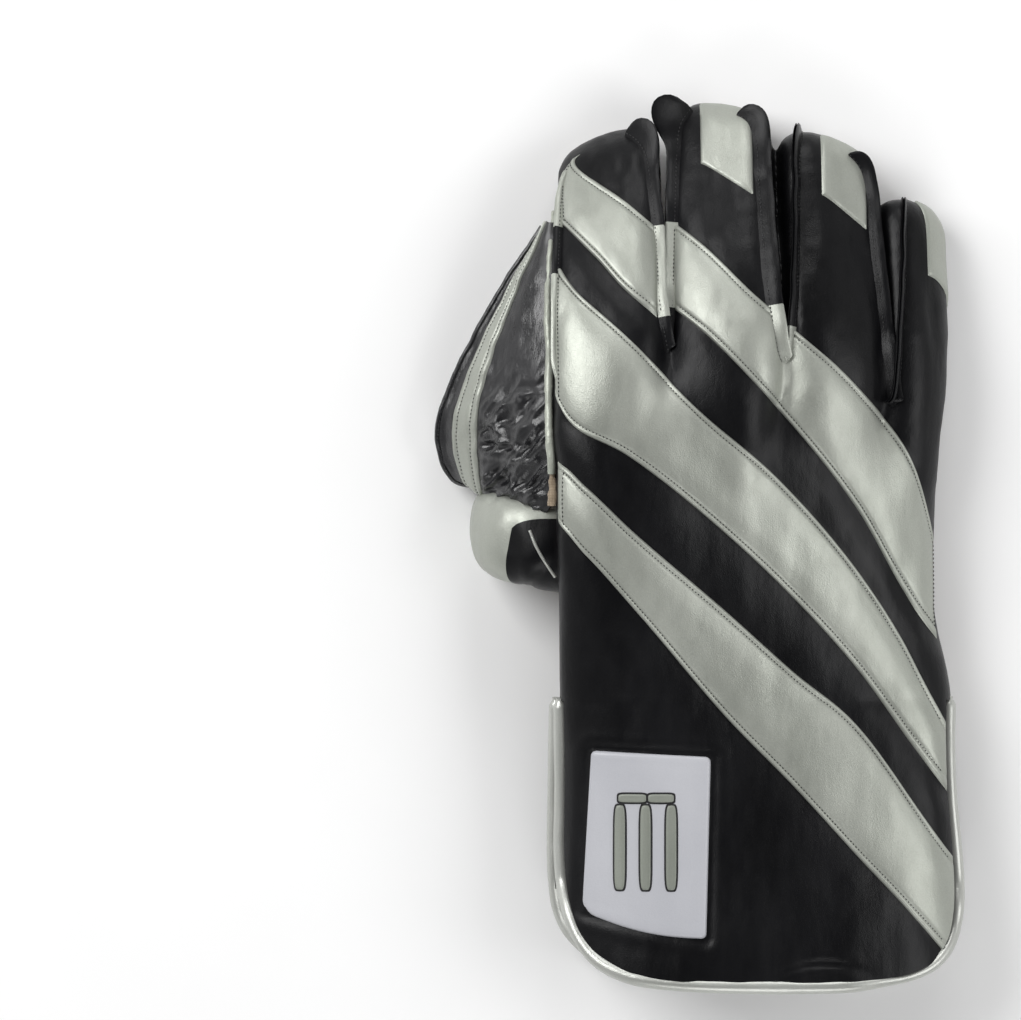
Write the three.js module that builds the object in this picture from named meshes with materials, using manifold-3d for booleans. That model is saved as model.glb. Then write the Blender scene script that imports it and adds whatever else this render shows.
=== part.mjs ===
// Wicketkeeping glove for the right hand, lying palm down, propped on its thumb.
// Millimetres, +Z up. The fingers point along +Y and the thumb hangs on the -X side.
import * as THREE from "three";
import { mergeVertices } from "three/addons/utils/BufferGeometryUtils.js";
import Module from "manifold-3d";

const wasm = await Module();
wasm.setup();

// Driving sizes
const gloveLength = 344; // palm panel's mouth to the middle fingertip
const halfWidth = 77; // half of the cuff's width
const mouthHeight = 58; // height of the cuff's open mouth
const backWall = 3.6; // padded leather on the back of the hand
const cuffWall = 4; // padded cuff panels
const fingerWall = 3; // leather and rubber of a finger stall
const thumbWall = 3;
const seamGap = 0.3; // running gap between sewn pieces
const pipingRadius = 2.6; // rolled edge binding
const pipingClearance = 0.9; // between the two bindings along the sides
const stripeThickness = 1.1; // sewn-on silver leather
const stripeLift = 0.6; // clearance under it
const flangeHeight = 4.2; // raw seam edge standing out of a finger
const flangeThickness = 2.2;
const flangeClearance = 1; // bare leather beside a flange
const webLeather = 1.3;
const webRubber = 1.8;
const webBelly = 3; // how far the web bulges between its seams and its rim
const badgeThickness = 2.2;
const emblemRelief = 0.8;
const patchInlay = 1.2; // depth of the silver panel in the cuff's palm side

// Seams across the hand, measured from the mouth along +Y
const wristSeam = 111; // between the cuff and the back of the hand
const palmEdge = 97; // lower edge of the rubber facing
const elasticWidth = 10;
const gussetWidth = 14; // cloth strip at the thumb side, above the elastic
const gussetReach = 48;

// Mouth of the cuff
const mouthCorner = 42; // radius of the rounded corners
const backMouthEdge = 6; // the back panel stops short of the palm panel
const palmMouthEdge = 2.6;
const pipingEnd = 108; // where the binding starts on each side

// Fingers and thumb
const fingerWidth = 38.5;
const fingerThickness = 30;
const fingerRounding = 13; // length over which a stall closes
const thumbWidth = 36;
const thumbThickness = 31;

// Emblem on the badge: three stumps under a bail
const stumpWidth = 4.2;
const stumpLength = 34;
const stumpPitch = 9;
const bailWidth = 3.2;

// Sections of the hand tube. Lengths are shares: along of gloveLength, left and right of
// halfWidth, the rest of mouthHeight. The rises are the heights of the side seams, crown is
// the back's height over them and depth the palm's drop below them.
const handSections = [
  { along: -0.04, left: -0.985, right: 0.985, leftRise: 0.5, rightRise: 0.5, crown: 0.5, depth: 0.53 },
  { along: 0.02, left: -0.985, right: 0.985, leftRise: 0.5, rightRise: 0.5, crown: 0.5, depth: 0.53 },
  { along: 0.12, left: -0.98, right: 0.99, leftRise: 0.52, rightRise: 0.48, crown: 0.47, depth: 0.53 },
  { along: 0.24, left: -0.97, right: 0.965, leftRise: 0.57, rightRise: 0.42, crown: 0.43, depth: 0.48 },
  { along: 0.33, left: -0.98, right: 0.965, leftRise: 0.66, rightRise: 0.33, crown: 0.41, depth: 0.42 },
  { along: 0.43, left: -0.985, right: 0.87, leftRise: 0.78, rightRise: 0.27, crown: 0.42, depth: 0.38 },
  { along: 0.54, left: -1.0, right: 0.885, leftRise: 0.88, rightRise: 0.24, crown: 0.43, depth: 0.28 },
  { along: 0.64, left: -1.03, right: 0.93, leftRise: 0.91, rightRise: 0.22, crown: 0.42, depth: 0.17 },
  { along: 0.74, left: -1.03, right: 0.93, leftRise: 0.88, rightRise: 0.2, crown: 0.38, depth: 0.14 },
];
const handSquareness = 2.5;

// The line of the finger crotches, where the hand ends: x as a share of halfWidth, along of
// gloveLength.
const crotchLine = [
  { x: -1.2, along: 0.69 },
  { x: -0.46, along: 0.697 },
  { x: 0.12, along: 0.688 },
  { x: 0.66, along: 0.643 },
  { x: 1.1, along: 0.6 },
];

// Finger stalls. x is a share of halfWidth, the alongs of gloveLength, the rises of
// mouthHeight, width and thickness of the finger's. roll tips the back of the finger
// towards the little-finger side, in degrees, and flanges are the places of its standing
// seams, as shares of the back's half turn. The little finger's outer one is sewn flat.
const bothFlanges = [0.19, 0.81];
const fingerTable = [
  {
    name: "index",
    baseX: -0.76, tipX: -0.735, tipAlong: 0.95,
    baseRise: 0.93, tipRise: 0.13, width: 1.04, thickness: 1, roll: 3, flanges: bothFlanges,
  },
  {
    name: "middle",
    baseX: -0.175, tipX: -0.175, tipAlong: 0.985,
    baseRise: 0.84, tipRise: 0.14, width: 1, thickness: 1, roll: 6, flanges: bothFlanges,
  },
  {
    name: "ring",
    baseX: 0.34, tipX: 0.35, tipAlong: 0.946,
    baseRise: 0.62, tipRise: 0.17, width: 0.98, thickness: 0.95, roll: 26, flanges: bothFlanges,
  },
  {
    name: "little",
    baseX: 0.76, tipX: 0.775, tipAlong: 0.878,
    baseRise: 0.37, tipRise: 0.2, width: 0.74, thickness: 0.8, roll: 46, flanges: bothFlanges.slice(1),
  },
];
const fingerRoot = 0.6; // share of gloveLength where the stalls start inside the hand
const fingerSquareness = 2.8;
const fingerTaper = 0.9; // width left near the tip
const tipFlattening = 0.78; // thickness left near the tip
const droopPower = 1.35; // how late along a finger its droop comes

// Thumb stall: points of its centreline, in shares of halfWidth, gloveLength, mouthHeight.
const thumbLine = [
  { x: -0.6, along: 0.488, rise: 0.8 },
  { x: -0.92, along: 0.495, rise: 0.88 },
  { x: -1.12, along: 0.502, rise: 0.82 },
  { x: -1.215, along: 0.508, rise: 0.6 },
  { x: -1.225, along: 0.515, rise: 0.33 },
  { x: -1.2, along: 0.522, rise: 0 },
];
const thumbSquareness = 2.5;
const thumbPatchStart = 0.44; // share of the centreline where the silver patch starts

// Web between the index finger and the thumb. Its inner edge follows their seams and its
// rim is free. Same shares as the thumb.
const webTable = [
  { innerX: -0.96, innerAlong: 0.83, innerRise: 0.58, rimX: -1.03, rimAlong: 0.828, rimRise: 0.53 },
  { innerX: -0.96, innerAlong: 0.77, innerRise: 0.74, rimX: -1.22, rimAlong: 0.775, rimRise: 0.42 },
  { innerX: -0.96, innerAlong: 0.71, innerRise: 0.84, rimX: -1.42, rimAlong: 0.71, rimRise: 0.33 },
  { innerX: -0.95, innerAlong: 0.65, innerRise: 0.88, rimX: -1.54, rimAlong: 0.645, rimRise: 0.25 },
  { innerX: -0.95, innerAlong: 0.59, innerRise: 0.88, rimX: -1.55, rimAlong: 0.6, rimRise: 0.19 },
  { innerX: -1.02, innerAlong: 0.535, innerRise: 0.8, rimX: -1.5, rimAlong: 0.572, rimRise: 0.15 },
  { innerX: -1.15, innerAlong: 0.53, innerRise: 0.58, rimX: -1.4, rimAlong: 0.563, rimRise: 0.13 },
  { innerX: -1.18, innerAlong: 0.53, innerRise: 0.3, rimX: -1.29, rimAlong: 0.56, rimRise: 0.12 },
];
const webBand = { inner: 0.62, outer: 0.84 }; // where the silver band runs, seam 0 to rim 1

// Silver bands on the back, as seen from above: x as a share of halfWidth, the band's upper
// and lower edges as shares of gloveLength.
const stripeTable = {
  stripe_index: [
    { x: -0.98, upper: 0.924, lower: 0.845 },
    { x: -0.81, upper: 0.898, lower: 0.812 },
    { x: -0.67, upper: 0.876, lower: 0.776 },
    { x: -0.54, upper: 0.854, lower: 0.754 },
  ],
  stripe_upper: [
    { x: -0.4, upper: 0.847, lower: 0.75 },
    { x: -0.25, upper: 0.82, lower: 0.722 },
    { x: -0.03, upper: 0.77, lower: 0.672 },
    { x: 0.19, upper: 0.728, lower: 0.618 },
    { x: 0.49, upper: 0.667, lower: 0.532 },
    { x: 0.75, upper: 0.594, lower: 0.434 },
    { x: 0.98, upper: 0.49, lower: 0.375 },
  ],
  stripe_middle: [
    { x: -1.06, upper: 0.808, lower: 0.658 },
    { x: -0.96, upper: 0.785, lower: 0.631 },
    { x: -0.65, upper: 0.722, lower: 0.592 },
    { x: -0.3, upper: 0.642, lower: 0.532 },
    { x: 0.1, upper: 0.565, lower: 0.451 },
    { x: 0.48, upper: 0.468, lower: 0.359 },
    { x: 0.73, upper: 0.382, lower: 0.282 },
    { x: 0.98, upper: 0.27, lower: 0.2 },
  ],
  stripe_lower: [
    { x: -1.06, upper: 0.586, lower: 0.52 },
    { x: -0.93, upper: 0.572, lower: 0.5 },
    { x: -0.6, upper: 0.505, lower: 0.42 },
    { x: -0.17, upper: 0.423, lower: 0.307 },
    { x: 0.17, upper: 0.355, lower: 0.229 },
    { x: 0.48, upper: 0.297, lower: 0.153 },
    { x: 0.78, upper: 0.205, lower: 0.08 },
    { x: 0.97, upper: 0.14, lower: 0.02 },
  ],
};
const stripeSteps = 5;

// Silver patches at the fingertips: left and right across the finger as shares of half its
// width, their lower corners as shares of gloveLength.
const tipPatchTable = [
  { finger: "middle", left: -0.38, right: 0.6, leftLower: 0.915, rightLower: 0.875 },
  { finger: "ring", left: -0.08, right: 0.65, leftLower: 0.882, rightLower: 0.835 },
  { finger: "little", left: 0.3, right: 0.84, leftLower: 0.79, rightLower: 0.757 },
];

const tipPatchTaper = 3; // how much a side of a patch comes in where the stall closes

// Badge and the silver panel on the palm side: corners in shares of halfWidth, gloveLength.
const badgeCorners = [
  { x: -0.865, along: 0.098 },
  { x: -0.8, along: 0.078 },
  { x: -0.58, along: 0.068 },
  { x: -0.275, along: 0.063 },
  { x: -0.232, along: 0.262 },
  { x: -0.815, along: 0.27 },
];
const cuffPatchCorners = [
  { x: -0.78, along: 0.19 },
  { x: -0.57, along: 0.07 },
  { x: 0.14, along: 0.24 },
  { x: -0.6, along: 0.24 },
];

// How finely the forms are divided
const aroundHalf = 7;
const handRings = 10;
const fingerRings = 7;
const thumbRings = 8;
const webRings = 8;
const webAcross = 4;
const pipingHalfSides = 4;
const pipingSteps = 22;
const cornerSteps = 4;
const sliver = 60; // smallest body, in cubic millimetres, that a cut may leave

const leatherBlack = new THREE.MeshStandardMaterial({ color: 0x0c0c0e, roughness: 0.45, metalness: 0 });
const leatherSilver = new THREE.MeshStandardMaterial({ color: 0x9da39b, roughness: 0.4, metalness: 0.35 });
const rubberGrey = new THREE.MeshStandardMaterial({ color: 0x9b918a, roughness: 0.7, metalness: 0 });
const badgeGrey = new THREE.MeshStandardMaterial({ color: 0xc9c9d2, roughness: 0.5, metalness: 0 });
const emblemGrey = new THREE.MeshStandardMaterial({ color: 0x85868e, roughness: 0.5, metalness: 0.2 });
const clothGrey = new THREE.MeshStandardMaterial({ color: 0x767a6e, roughness: 0.95, metalness: 0 });

const along = (share) => share * gloveLength;
const across = (share) => share * halfWidth;
const rise = (share) => share * mouthHeight;
const mix = THREE.MathUtils.lerp;
const signedPower = (value, power) => Math.sign(value) * Math.abs(value) ** power;

// The parts of a section that a form takes, as its start and its span in half turns.
const HALF = {
  whole: { start: 0, span: 2, shift: 0 },
  back: { start: 0, span: 1, shift: seamGap / 2 },
  palm: { start: 1, span: 1, shift: -seamGap / 2 },
};

// The value of one column of a table at a place on its key column, along smooth curves.
function column(rows, key, name, place) {
  const last = rows.length - 1;
  let i = 0;
  while (i < last - 1 && place > rows[i + 1][key]) i += 1;
  const slope = (a, b) => (rows[b][name] - rows[a][name]) / (rows[b][key] - rows[a][key]);
  const step = rows[i + 1][key] - rows[i][key];
  const here = slope(i, i + 1);
  const start = i > 0 ? (slope(i - 1, i) + here) / 2 : here;
  const end = i + 1 < last ? (slope(i + 1, i + 2) + here) / 2 : here;
  const t = THREE.MathUtils.clamp((place - rows[i][key]) / step, 0, 1);
  const t2 = t * t;
  const t3 = t2 * t;
  return (
    (2 * t3 - 3 * t2 + 1) * rows[i][name] +
    (t3 - 2 * t2 + t) * step * start +
    (3 * t2 - 2 * t3) * rows[i + 1][name] +
    (t3 - t2) * step * end
  );
}

function solidOf(geometry) {
  geometry.deleteAttribute("normal");
  geometry.deleteAttribute("uv");
  const merged = mergeVertices(geometry, 1e-4);
  const vertProperties = merged.attributes.position.array;
  const triVerts = new Uint32Array(merged.index.array);
  return new wasm.Manifold(new wasm.Mesh({ numProp: 3, vertProperties, triVerts }));
}

// A closed solid through rings of points, all with the same count, with flat ends.
function loft(rings) {
  const count = rings[0].length;
  const positions = rings.flat().flatMap((p) => p.toArray());
  for (const end of [rings[0], rings.at(-1)]) {
    const middle = end.reduce((sum, p) => sum.add(p), new THREE.Vector3()).divideScalar(count);
    positions.push(...middle.toArray());
  }
  const firstMiddle = rings.length * count;
  const lastRing = firstMiddle - count;
  const triangles = [];
  for (let k = 0; k < count; k += 1) {
    const next = (k + 1) % count;
    triangles.push([firstMiddle, next, k], [firstMiddle + 1, lastRing + k, lastRing + next]);
    for (let start = 0; start < lastRing; start += count) {
      const [a, b, c, d] = [start + k, start + next, start + count + next, start + count + k];
      triangles.push([a, b, c], [a, c, d]);
    }
  }
  const build = (faces) => {
    const geometry = new THREE.BufferGeometry();
    geometry.setAttribute("position", new THREE.Float32BufferAttribute(positions, 3));
    geometry.setIndex(faces.flat());
    return solidOf(geometry);
  };
  const made = build(triangles);
  return made.volume() > 0 ? made : build(triangles.map(([a, b, c]) => [a, c, b]));
}

const reach = 2 * gloveLength; // beyond the glove on every side

// A straight prism of a plan outline through the whole glove.
function prism(outline) {
  const shape = new THREE.Shape(outline);
  const geometry = new THREE.ExtrudeGeometry(shape, { depth: 2 * reach, bevelEnabled: false, steps: 1 });
  geometry.translate(0, 0, -reach);
  return solidOf(geometry);
}

function block(low, high) {
  const size = high.clone().sub(low);
  const geometry = new THREE.BoxGeometry(size.x, size.y, size.z);
  geometry.translate(low.x + size.x / 2, low.y + size.y / 2, low.z + size.z / 2);
  return solidOf(geometry);
}

const beyond = (y) => block(new THREE.Vector3(-reach, y, -reach), new THREE.Vector3(reach, reach, reach));
const before = (y) => block(new THREE.Vector3(-reach, -reach, -reach), new THREE.Vector3(reach, y, reach));
const aboveFloor = block(new THREE.Vector3(-reach, -reach, 0), new THREE.Vector3(reach, reach, reach));
const union = (solids) => solids.reduce((sum, solid) => sum.add(solid));

// Drops the slivers that a cut leaves beside a piece.
function trimmed(solid) {
  return union(solid.decompose().filter((body) => body.volume() > sliver));
}

// The body of a band that lies between the flanges, without its ends beyond them.
const largest = (solid) => solid.decompose().reduce((a, b) => (a.volume() > b.volume() ? a : b));

function turnsOf(half) {
  const steps = half.span * aroundHalf;
  const count = half.span === 2 ? steps : steps + 1;
  return Array.from({ length: count }, (_, k) => Math.PI * (half.start + (half.span * k) / steps));
}

function handRow(y) {
  const value = (name) => column(handSections, "along", name, y / gloveLength);
  const left = across(value("left"));
  const right = across(value("right"));
  return {
    centre: (left + right) / 2,
    reach: (right - left) / 2,
    leftRise: rise(value("leftRise")),
    rightRise: rise(value("rightRise")),
    crown: rise(value("crown")),
    depth: rise(value("depth")),
  };
}

// One section of the hand tube at y, grown outwards by a distance.
function handRing(y, grow, half) {
  const row = handRow(y);
  return turnsOf(half).map((turn) => {
    const ex = signedPower(Math.cos(turn), 2 / handSquareness);
    const ez = signedPower(Math.sin(turn), 2 / handSquareness);
    const seam = mix(row.leftRise, row.rightRise, (ex + 1) / 2);
    const swell = (ez > 0 ? row.crown : row.depth) + grow;
    return new THREE.Vector3(row.centre + (row.reach + grow) * ex, y, seam + swell * ez + half.shift);
  });
}

// Height of the hand's surface over a plan point: up is 1 on the back and -1 on the palm.
function handHeight(x, y, up, grow) {
  const row = handRow(y);
  const ex = THREE.MathUtils.clamp((x - row.centre) / (row.reach + grow), -1, 1);
  const ez = (1 - Math.abs(ex) ** handSquareness) ** (1 / handSquareness);
  const swell = (up > 0 ? row.crown : row.depth) + grow;
  return mix(row.leftRise, row.rightRise, (ex + 1) / 2) + up * swell * ez;
}

// The plan outline of all that lies short of the crotches.
function crotchOutline(grow) {
  const line = crotchLine.map((p) => new THREE.Vector2(across(p.x), along(p.along) + grow));
  const first = line[0];
  const last = line.at(-1);
  return [
    new THREE.Vector2(-reach, -reach),
    new THREE.Vector2(reach, -reach),
    new THREE.Vector2(reach, last.y),
    ...line.reverse(),
    new THREE.Vector2(-reach, first.y),
  ];
}

function hand(grow, half = HALF.whole) {
  const start = handSections[0].along;
  const stop = handSections.at(-1).along;
  const rings = Array.from({ length: handRings + 1 }, (_, i) =>
    handRing(along(mix(start, stop, i / handRings)), grow, half));
  return loft(rings).intersect(prism(crotchOutline(grow)));
}

// Half width and half thickness left at a distance before a stall's end.
function closing(distance) {
  const into = THREE.MathUtils.clamp(1 - distance / fingerRounding, 0, 1);
  return (1 - into ** 2.4) ** (1 / 2.4);
}

// Shares of a stall's length, closer together where it closes.
function stallShares(count) {
  return Array.from({ length: count + 1 }, (_, i) => 1 - (1 - i / count) ** 2.1);
}

function stallRing(station, shut, grow, squareness, half) {
  const wide = Math.max((station.wide + grow) * shut, 0.4);
  const thick = Math.max((station.thick + grow) * shut, 0.3);
  return turnsOf(half).map((turn) =>
    station.centre
      .clone()
      .addScaledVector(station.side, wide * signedPower(Math.cos(turn), 2 / squareness))
      .addScaledVector(station.up, thick * signedPower(Math.sin(turn), 2 / squareness) + half.shift));
}

const fingerStart = along(fingerRoot);
const fingerReach = (finger) => along(finger.tipAlong) - fingerStart;

// Centre, axes and half sizes of a finger stall at a share of its length.
function fingerStation(finger, share) {
  const roll = THREE.MathUtils.degToRad(finger.roll);
  const towardsTip = THREE.MathUtils.smoothstep(share, 0.3, 1);
  return {
    centre: new THREE.Vector3(
      across(mix(finger.baseX, finger.tipX, share)),
      fingerStart + fingerReach(finger) * share,
      rise(mix(finger.baseRise, finger.tipRise, share ** droopPower)),
    ),
    side: new THREE.Vector3(Math.cos(roll), 0, -Math.sin(roll)),
    up: new THREE.Vector3(Math.sin(roll), 0, Math.cos(roll)),
    wide: (fingerWidth / 2) * finger.width * mix(1, fingerTaper, towardsTip),
    thick: (fingerThickness / 2) * finger.thickness * mix(1, tipFlattening, towardsTip),
  };
}

function fingerStall(finger, grow, half = HALF.whole) {
  const full = fingerReach(finger);
  const length = full + grow;
  const rings = stallShares(fingerRings).map((share) => {
    const station = fingerStation(finger, (share * length) / full);
    return stallRing(station, closing(length * (1 - share)), grow, fingerSquareness, half);
  });
  return loft(rings);
}

// A raw seam edge that stands out along a finger's back, from the crotches to its tip.
function fingerFlange(finger, turnShare, grow = 0) {
  const turn = Math.PI * turnShare;
  const ex = signedPower(Math.cos(turn), 2 / fingerSquareness);
  const ez = signedPower(Math.sin(turn), 2 / fingerSquareness);
  const ahead = new THREE.Vector3(0, 1, 0);
  const crotch = along(column(crotchLine, "x", "along", finger.baseX));
  const start = (crotch - grow - fingerStart) / fingerReach(finger);
  const rings = stallShares(fingerRings).slice(0, -1).map((part) => {
    const share = mix(start, 1, part);
    const station = fingerStation(finger, share);
    const shut = closing(fingerReach(finger) * (1 - share));
    const stand = new THREE.Vector3()
      .addScaledVector(station.side, Math.cos(turn))
      .addScaledVector(station.up, Math.sin(turn))
      .addScaledVector(ahead, 1 - shut)
      .normalize();
    const thin = new THREE.Vector3().crossVectors(stand, ahead).normalize();
    const foot = station.centre
      .clone()
      .addScaledVector(station.side, station.wide * shut * ex)
      .addScaledVector(station.up, station.thick * shut * ez);
    const corner = (aside, height) =>
      foot.clone().addScaledVector(thin, aside * (flangeThickness / 2 + grow)).addScaledVector(stand, height);
    const low = -fingerWall / 2;
    const high = flangeHeight + grow;
    return [corner(-1, low), corner(1, low), corner(1, high), corner(-1, high)];
  });
  return loft(rings).subtract(prism(crotchOutline(seamGap - grow)));
}

const thumbCurve = new THREE.CatmullRomCurve3(
  thumbLine.map((p) => new THREE.Vector3(across(p.x), along(p.along), rise(p.rise))));

function thumbStall(grow, half = HALF.whole) {
  const full = thumbCurve.getLength();
  const length = full + Math.min(grow, 0);
  const rings = stallShares(thumbRings).map((share) => {
    const place = (share * length) / full;
    const ahead = thumbCurve.getTangentAt(place);
    const side = new THREE.Vector3(0, 1, 0).projectOnPlane(ahead).normalize();
    const station = {
      centre: thumbCurve.getPointAt(place),
      side,
      up: new THREE.Vector3().crossVectors(side, ahead),
      wide: thumbWidth / 2,
      thick: thumbThickness / 2,
    };
    return stallRing(station, closing(length * (1 - share)), grow, thumbSquareness, half);
  });
  return loft(rings);
}

// All that lies further along the thumb than a share of its centreline.
function beyondThumb(share) {
  const geometry = new THREE.BoxGeometry(reach, reach, reach);
  geometry.translate(0, 0, reach / 2);
  const turn = new THREE.Quaternion();
  turn.setFromUnitVectors(new THREE.Vector3(0, 0, 1), thumbCurve.getTangentAt(share));
  geometry.applyQuaternion(turn);
  geometry.translate(...thumbCurve.getPointAt(share).toArray());
  return solidOf(geometry);
}

// A point of the web's middle surface: u runs from the index fingertip to the thumb's tip
// and v from the seam to the free rim.
const webRows = webTable.map((row, i) => ({ ...row, u: i / (webTable.length - 1) }));

function webPoint(u, v) {
  const value = (name) => column(webRows, "u", name, u);
  const edge = (name) =>
    new THREE.Vector3(across(value(`${name}X`)), along(value(`${name}Along`)), rise(value(`${name}Rise`)));
  const inner = edge("inner");
  const rim = edge("rim");
  const swell = webBelly * Math.sin(Math.PI * v) * Math.SQRT1_2;
  return inner.lerp(rim, v).add(new THREE.Vector3(-swell, 0, swell));
}

function webNormal(u, v) {
  const step = 0.01;
  const alongRim = webPoint(Math.min(u + step, 1), v).sub(webPoint(Math.max(u - step, 0), v));
  const outwards = webPoint(u, Math.min(v + step, 1)).sub(webPoint(u, Math.max(v - step, 0)));
  return new THREE.Vector3().crossVectors(outwards, alongRim).normalize();
}

// A layer of the web between two heights over its middle surface.
function webLayer(low, high, from = 0, to = 1) {
  const rings = Array.from({ length: webRings + 1 }, (_, i) => {
    const u = i / webRings;
    const edge = (offset) =>
      Array.from({ length: webAcross + 1 }, (_, k) => {
        const v = mix(from, to, k / webAcross);
        return webPoint(u, v).addScaledVector(webNormal(u, v), offset);
      });
    return [...edge(low), ...edge(high).reverse()];
  });
  return loft(rings);
}

function bandOutline(rows) {
  const edge = (name) =>
    Array.from({ length: stripeSteps + 1 }, (_, i) => {
      const x = mix(rows[0].x, rows.at(-1).x, i / stripeSteps);
      return new THREE.Vector2(across(x), along(column(rows, "x", name, x)));
    });
  return [...edge("lower"), ...edge("upper").reverse()];
}

const cornersOutline = (corners) => corners.map((p) => new THREE.Vector2(across(p.x), along(p.along)));

// An anticlockwise plan outline moved outwards by a distance.
function grown(outline, distance) {
  const normal = (from, to) => new THREE.Vector2(to.y - from.y, from.x - to.x).normalize();
  return outline.map((p, i) => {
    const before = normal(outline.at(i - 1), p);
    const after = normal(p, outline[(i + 1) % outline.length]);
    const share = distance / (1 + before.dot(after));
    return p.clone().addScaledVector(before.add(after), share);
  });
}

// The edge of a cuff panel in plan, from one side round the mouth to the other. inset is how
// far it stays inside the hand's sides, and its straight sides may have another.
function mouthPath(edge, inset, sideInset) {
  const top = edge + mouthCorner;
  const sideX = (side, y, by) => handRow(y).centre + side * (handRow(y).reach - by);
  const straight = (side) =>
    Array.from({ length: 3 }, (_, i) => {
      const y = mix(pipingEnd, top, i / 2.6);
      return new THREE.Vector2(sideX(side, y, sideInset), y);
    });
  const arc = (side) =>
    Array.from({ length: cornerSteps + 1 }, (_, i) => {
      const turn = (Math.PI / 2) * (i / cornerSteps);
      const x = sideX(side, top, inset) - side * mouthCorner * (1 - Math.cos(turn));
      return new THREE.Vector2(x, top - mouthCorner * Math.sin(turn));
    });
  const left = [...straight(-1), ...arc(-1)];
  const right = [...straight(1), ...arc(1)];
  return [...left, ...right.reverse()];
}

// The plan outline of all that lies inside a panel's edge.
function mouthOutline(edge) {
  const path = mouthPath(edge, pipingRadius, -2 * pipingRadius);
  return [
    new THREE.Vector2(reach, reach),
    new THREE.Vector2(-reach, reach),
    new THREE.Vector2(-reach, path[0].y),
    ...path,
    new THREE.Vector2(reach, path[0].y),
  ];
}

// The rolled binding on a cuff panel's edge.
function piping(edge, up, radius) {
  const apart = pipingRadius + pipingClearance / 2;
  const points = mouthPath(edge, pipingRadius, pipingRadius).map((p) => {
    const row = handRow(p.y);
    const seam = mix(row.leftRise, row.rightRise, (p.x - row.centre) / (2 * row.reach) + 0.5);
    const surface = handHeight(p.x, p.y, up, -cuffWall / 2);
    const onSide = p.y >= edge + mouthCorner;
    const away = onSide ? apart : Math.max(up * (surface - seam), apart);
    return new THREE.Vector3(p.x, p.y, Math.max(seam + up * away, 0.8 * pipingRadius));
  });
  const section = new THREE.Shape();
  section.absarc(0, 0, radius, 0, 2 * Math.PI);
  const geometry = new THREE.ExtrudeGeometry(section, {
    steps: pipingSteps,
    curveSegments: pipingHalfSides,
    bevelEnabled: false,
    extrudePath: new THREE.CatmullRomCurve3(points),
  });
  return solidOf(geometry);
}

// The space between the two panels that their bindings fill along the sides.
function bindingSlab() {
  const high = pipingRadius + pipingClearance / 2;
  const rings = [along(handSections[0].along), 0, pipingEnd / 2, pipingEnd + pipingRadius].map((y) => {
    const row = handRow(y);
    const slope = (row.rightRise - row.leftRise) / (2 * row.reach);
    const point = (side, up) => {
      const x = side * 2 * halfWidth;
      return new THREE.Vector3(x, y, row.leftRise + slope * (x - row.centre + row.reach) + up * high);
    };
    return [point(-1, -1), point(1, -1), point(1, 1), point(-1, 1)];
  });
  return loft(rings);
}

const group = new THREE.Group();

function add(name, solid, material) {
  const data = trimmed(solid).getMesh();
  const geometry = new THREE.BufferGeometry();
  geometry.setAttribute("position", new THREE.Float32BufferAttribute(data.vertProperties, 3));
  geometry.setIndex(Array.from(data.triVerts));
  const mesh = new THREE.Mesh(geometry, material);
  mesh.name = name;
  group.add(mesh);
}

// Rooms inside the glove, and the outer forms that trim what is sewn to them
const fingerRooms = fingerTable.map((finger) => fingerStall(finger, -fingerWall));
const thumbRoom = thumbStall(-thumbWall);
const room = union([hand(-backWall), ...fingerRooms, thumbRoom]);
const cuffRoom = hand(-cuffWall);
const handForm = hand(seamGap);
const fingerForms = fingerTable.map((finger) => fingerStall(finger, seamGap));
const flangeForms = (finger) => finger.flanges.map((turn) => fingerFlange(finger, turn, flangeClearance));
const dressedForms = fingerTable.map((finger, i) => union([fingerForms[i], ...flangeForms(finger)]));
const thumbForm = thumbStall(seamGap);
const backPiping = (radius) => piping(backMouthEdge, 1, radius);
const palmPiping = (radius) => piping(palmMouthEdge, -1, radius);
const pipingForms = union([
  backPiping(pipingRadius + seamGap),
  palmPiping(pipingRadius + seamGap),
]);

// Cuff and back of the hand
const bindingPlace = pipingForms.add(bindingSlab());
const backHalf = hand(0, HALF.back).subtract(bindingPlace);
const palmHalf = hand(0, HALF.palm).subtract(bindingPlace).intersect(aboveFloor);
const elasticStart = palmEdge - elasticWidth;
const cuffPatch = prism(cornersOutline(cuffPatchCorners)).intersect(before(elasticStart - seamGap));
const cuffPatchForm = hand(0, HALF.palm).subtract(hand(-patchInlay)).intersect(cuffPatch);
const cuffPatchPlace = hand(seamGap, HALF.palm)
  .subtract(hand(-patchInlay - seamGap))
  .intersect(prism(grown(cornersOutline(cuffPatchCorners), seamGap)));
add("cuff_back",
  backHalf
    .intersect(prism(mouthOutline(backMouthEdge)))
    .intersect(before(wristSeam - seamGap / 2))
    .subtract(cuffRoom),
  leatherBlack);
add("back_of_hand", backHalf.intersect(beyond(wristSeam + seamGap / 2)).subtract(room), leatherBlack);
add("cuff_palm",
  palmHalf
    .intersect(prism(mouthOutline(palmMouthEdge)))
    .intersect(before(elasticStart - seamGap))
    .subtract(cuffRoom)
    .subtract(cuffPatchPlace),
  leatherBlack);
add("wrist_elastic",
  palmHalf.intersect(beyond(elasticStart)).intersect(before(palmEdge - seamGap)).subtract(cuffRoom),
  leatherBlack);
add("piping_back", backPiping(pipingRadius), leatherSilver);
add("piping_palm", palmPiping(pipingRadius).intersect(aboveFloor), leatherSilver);

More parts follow.
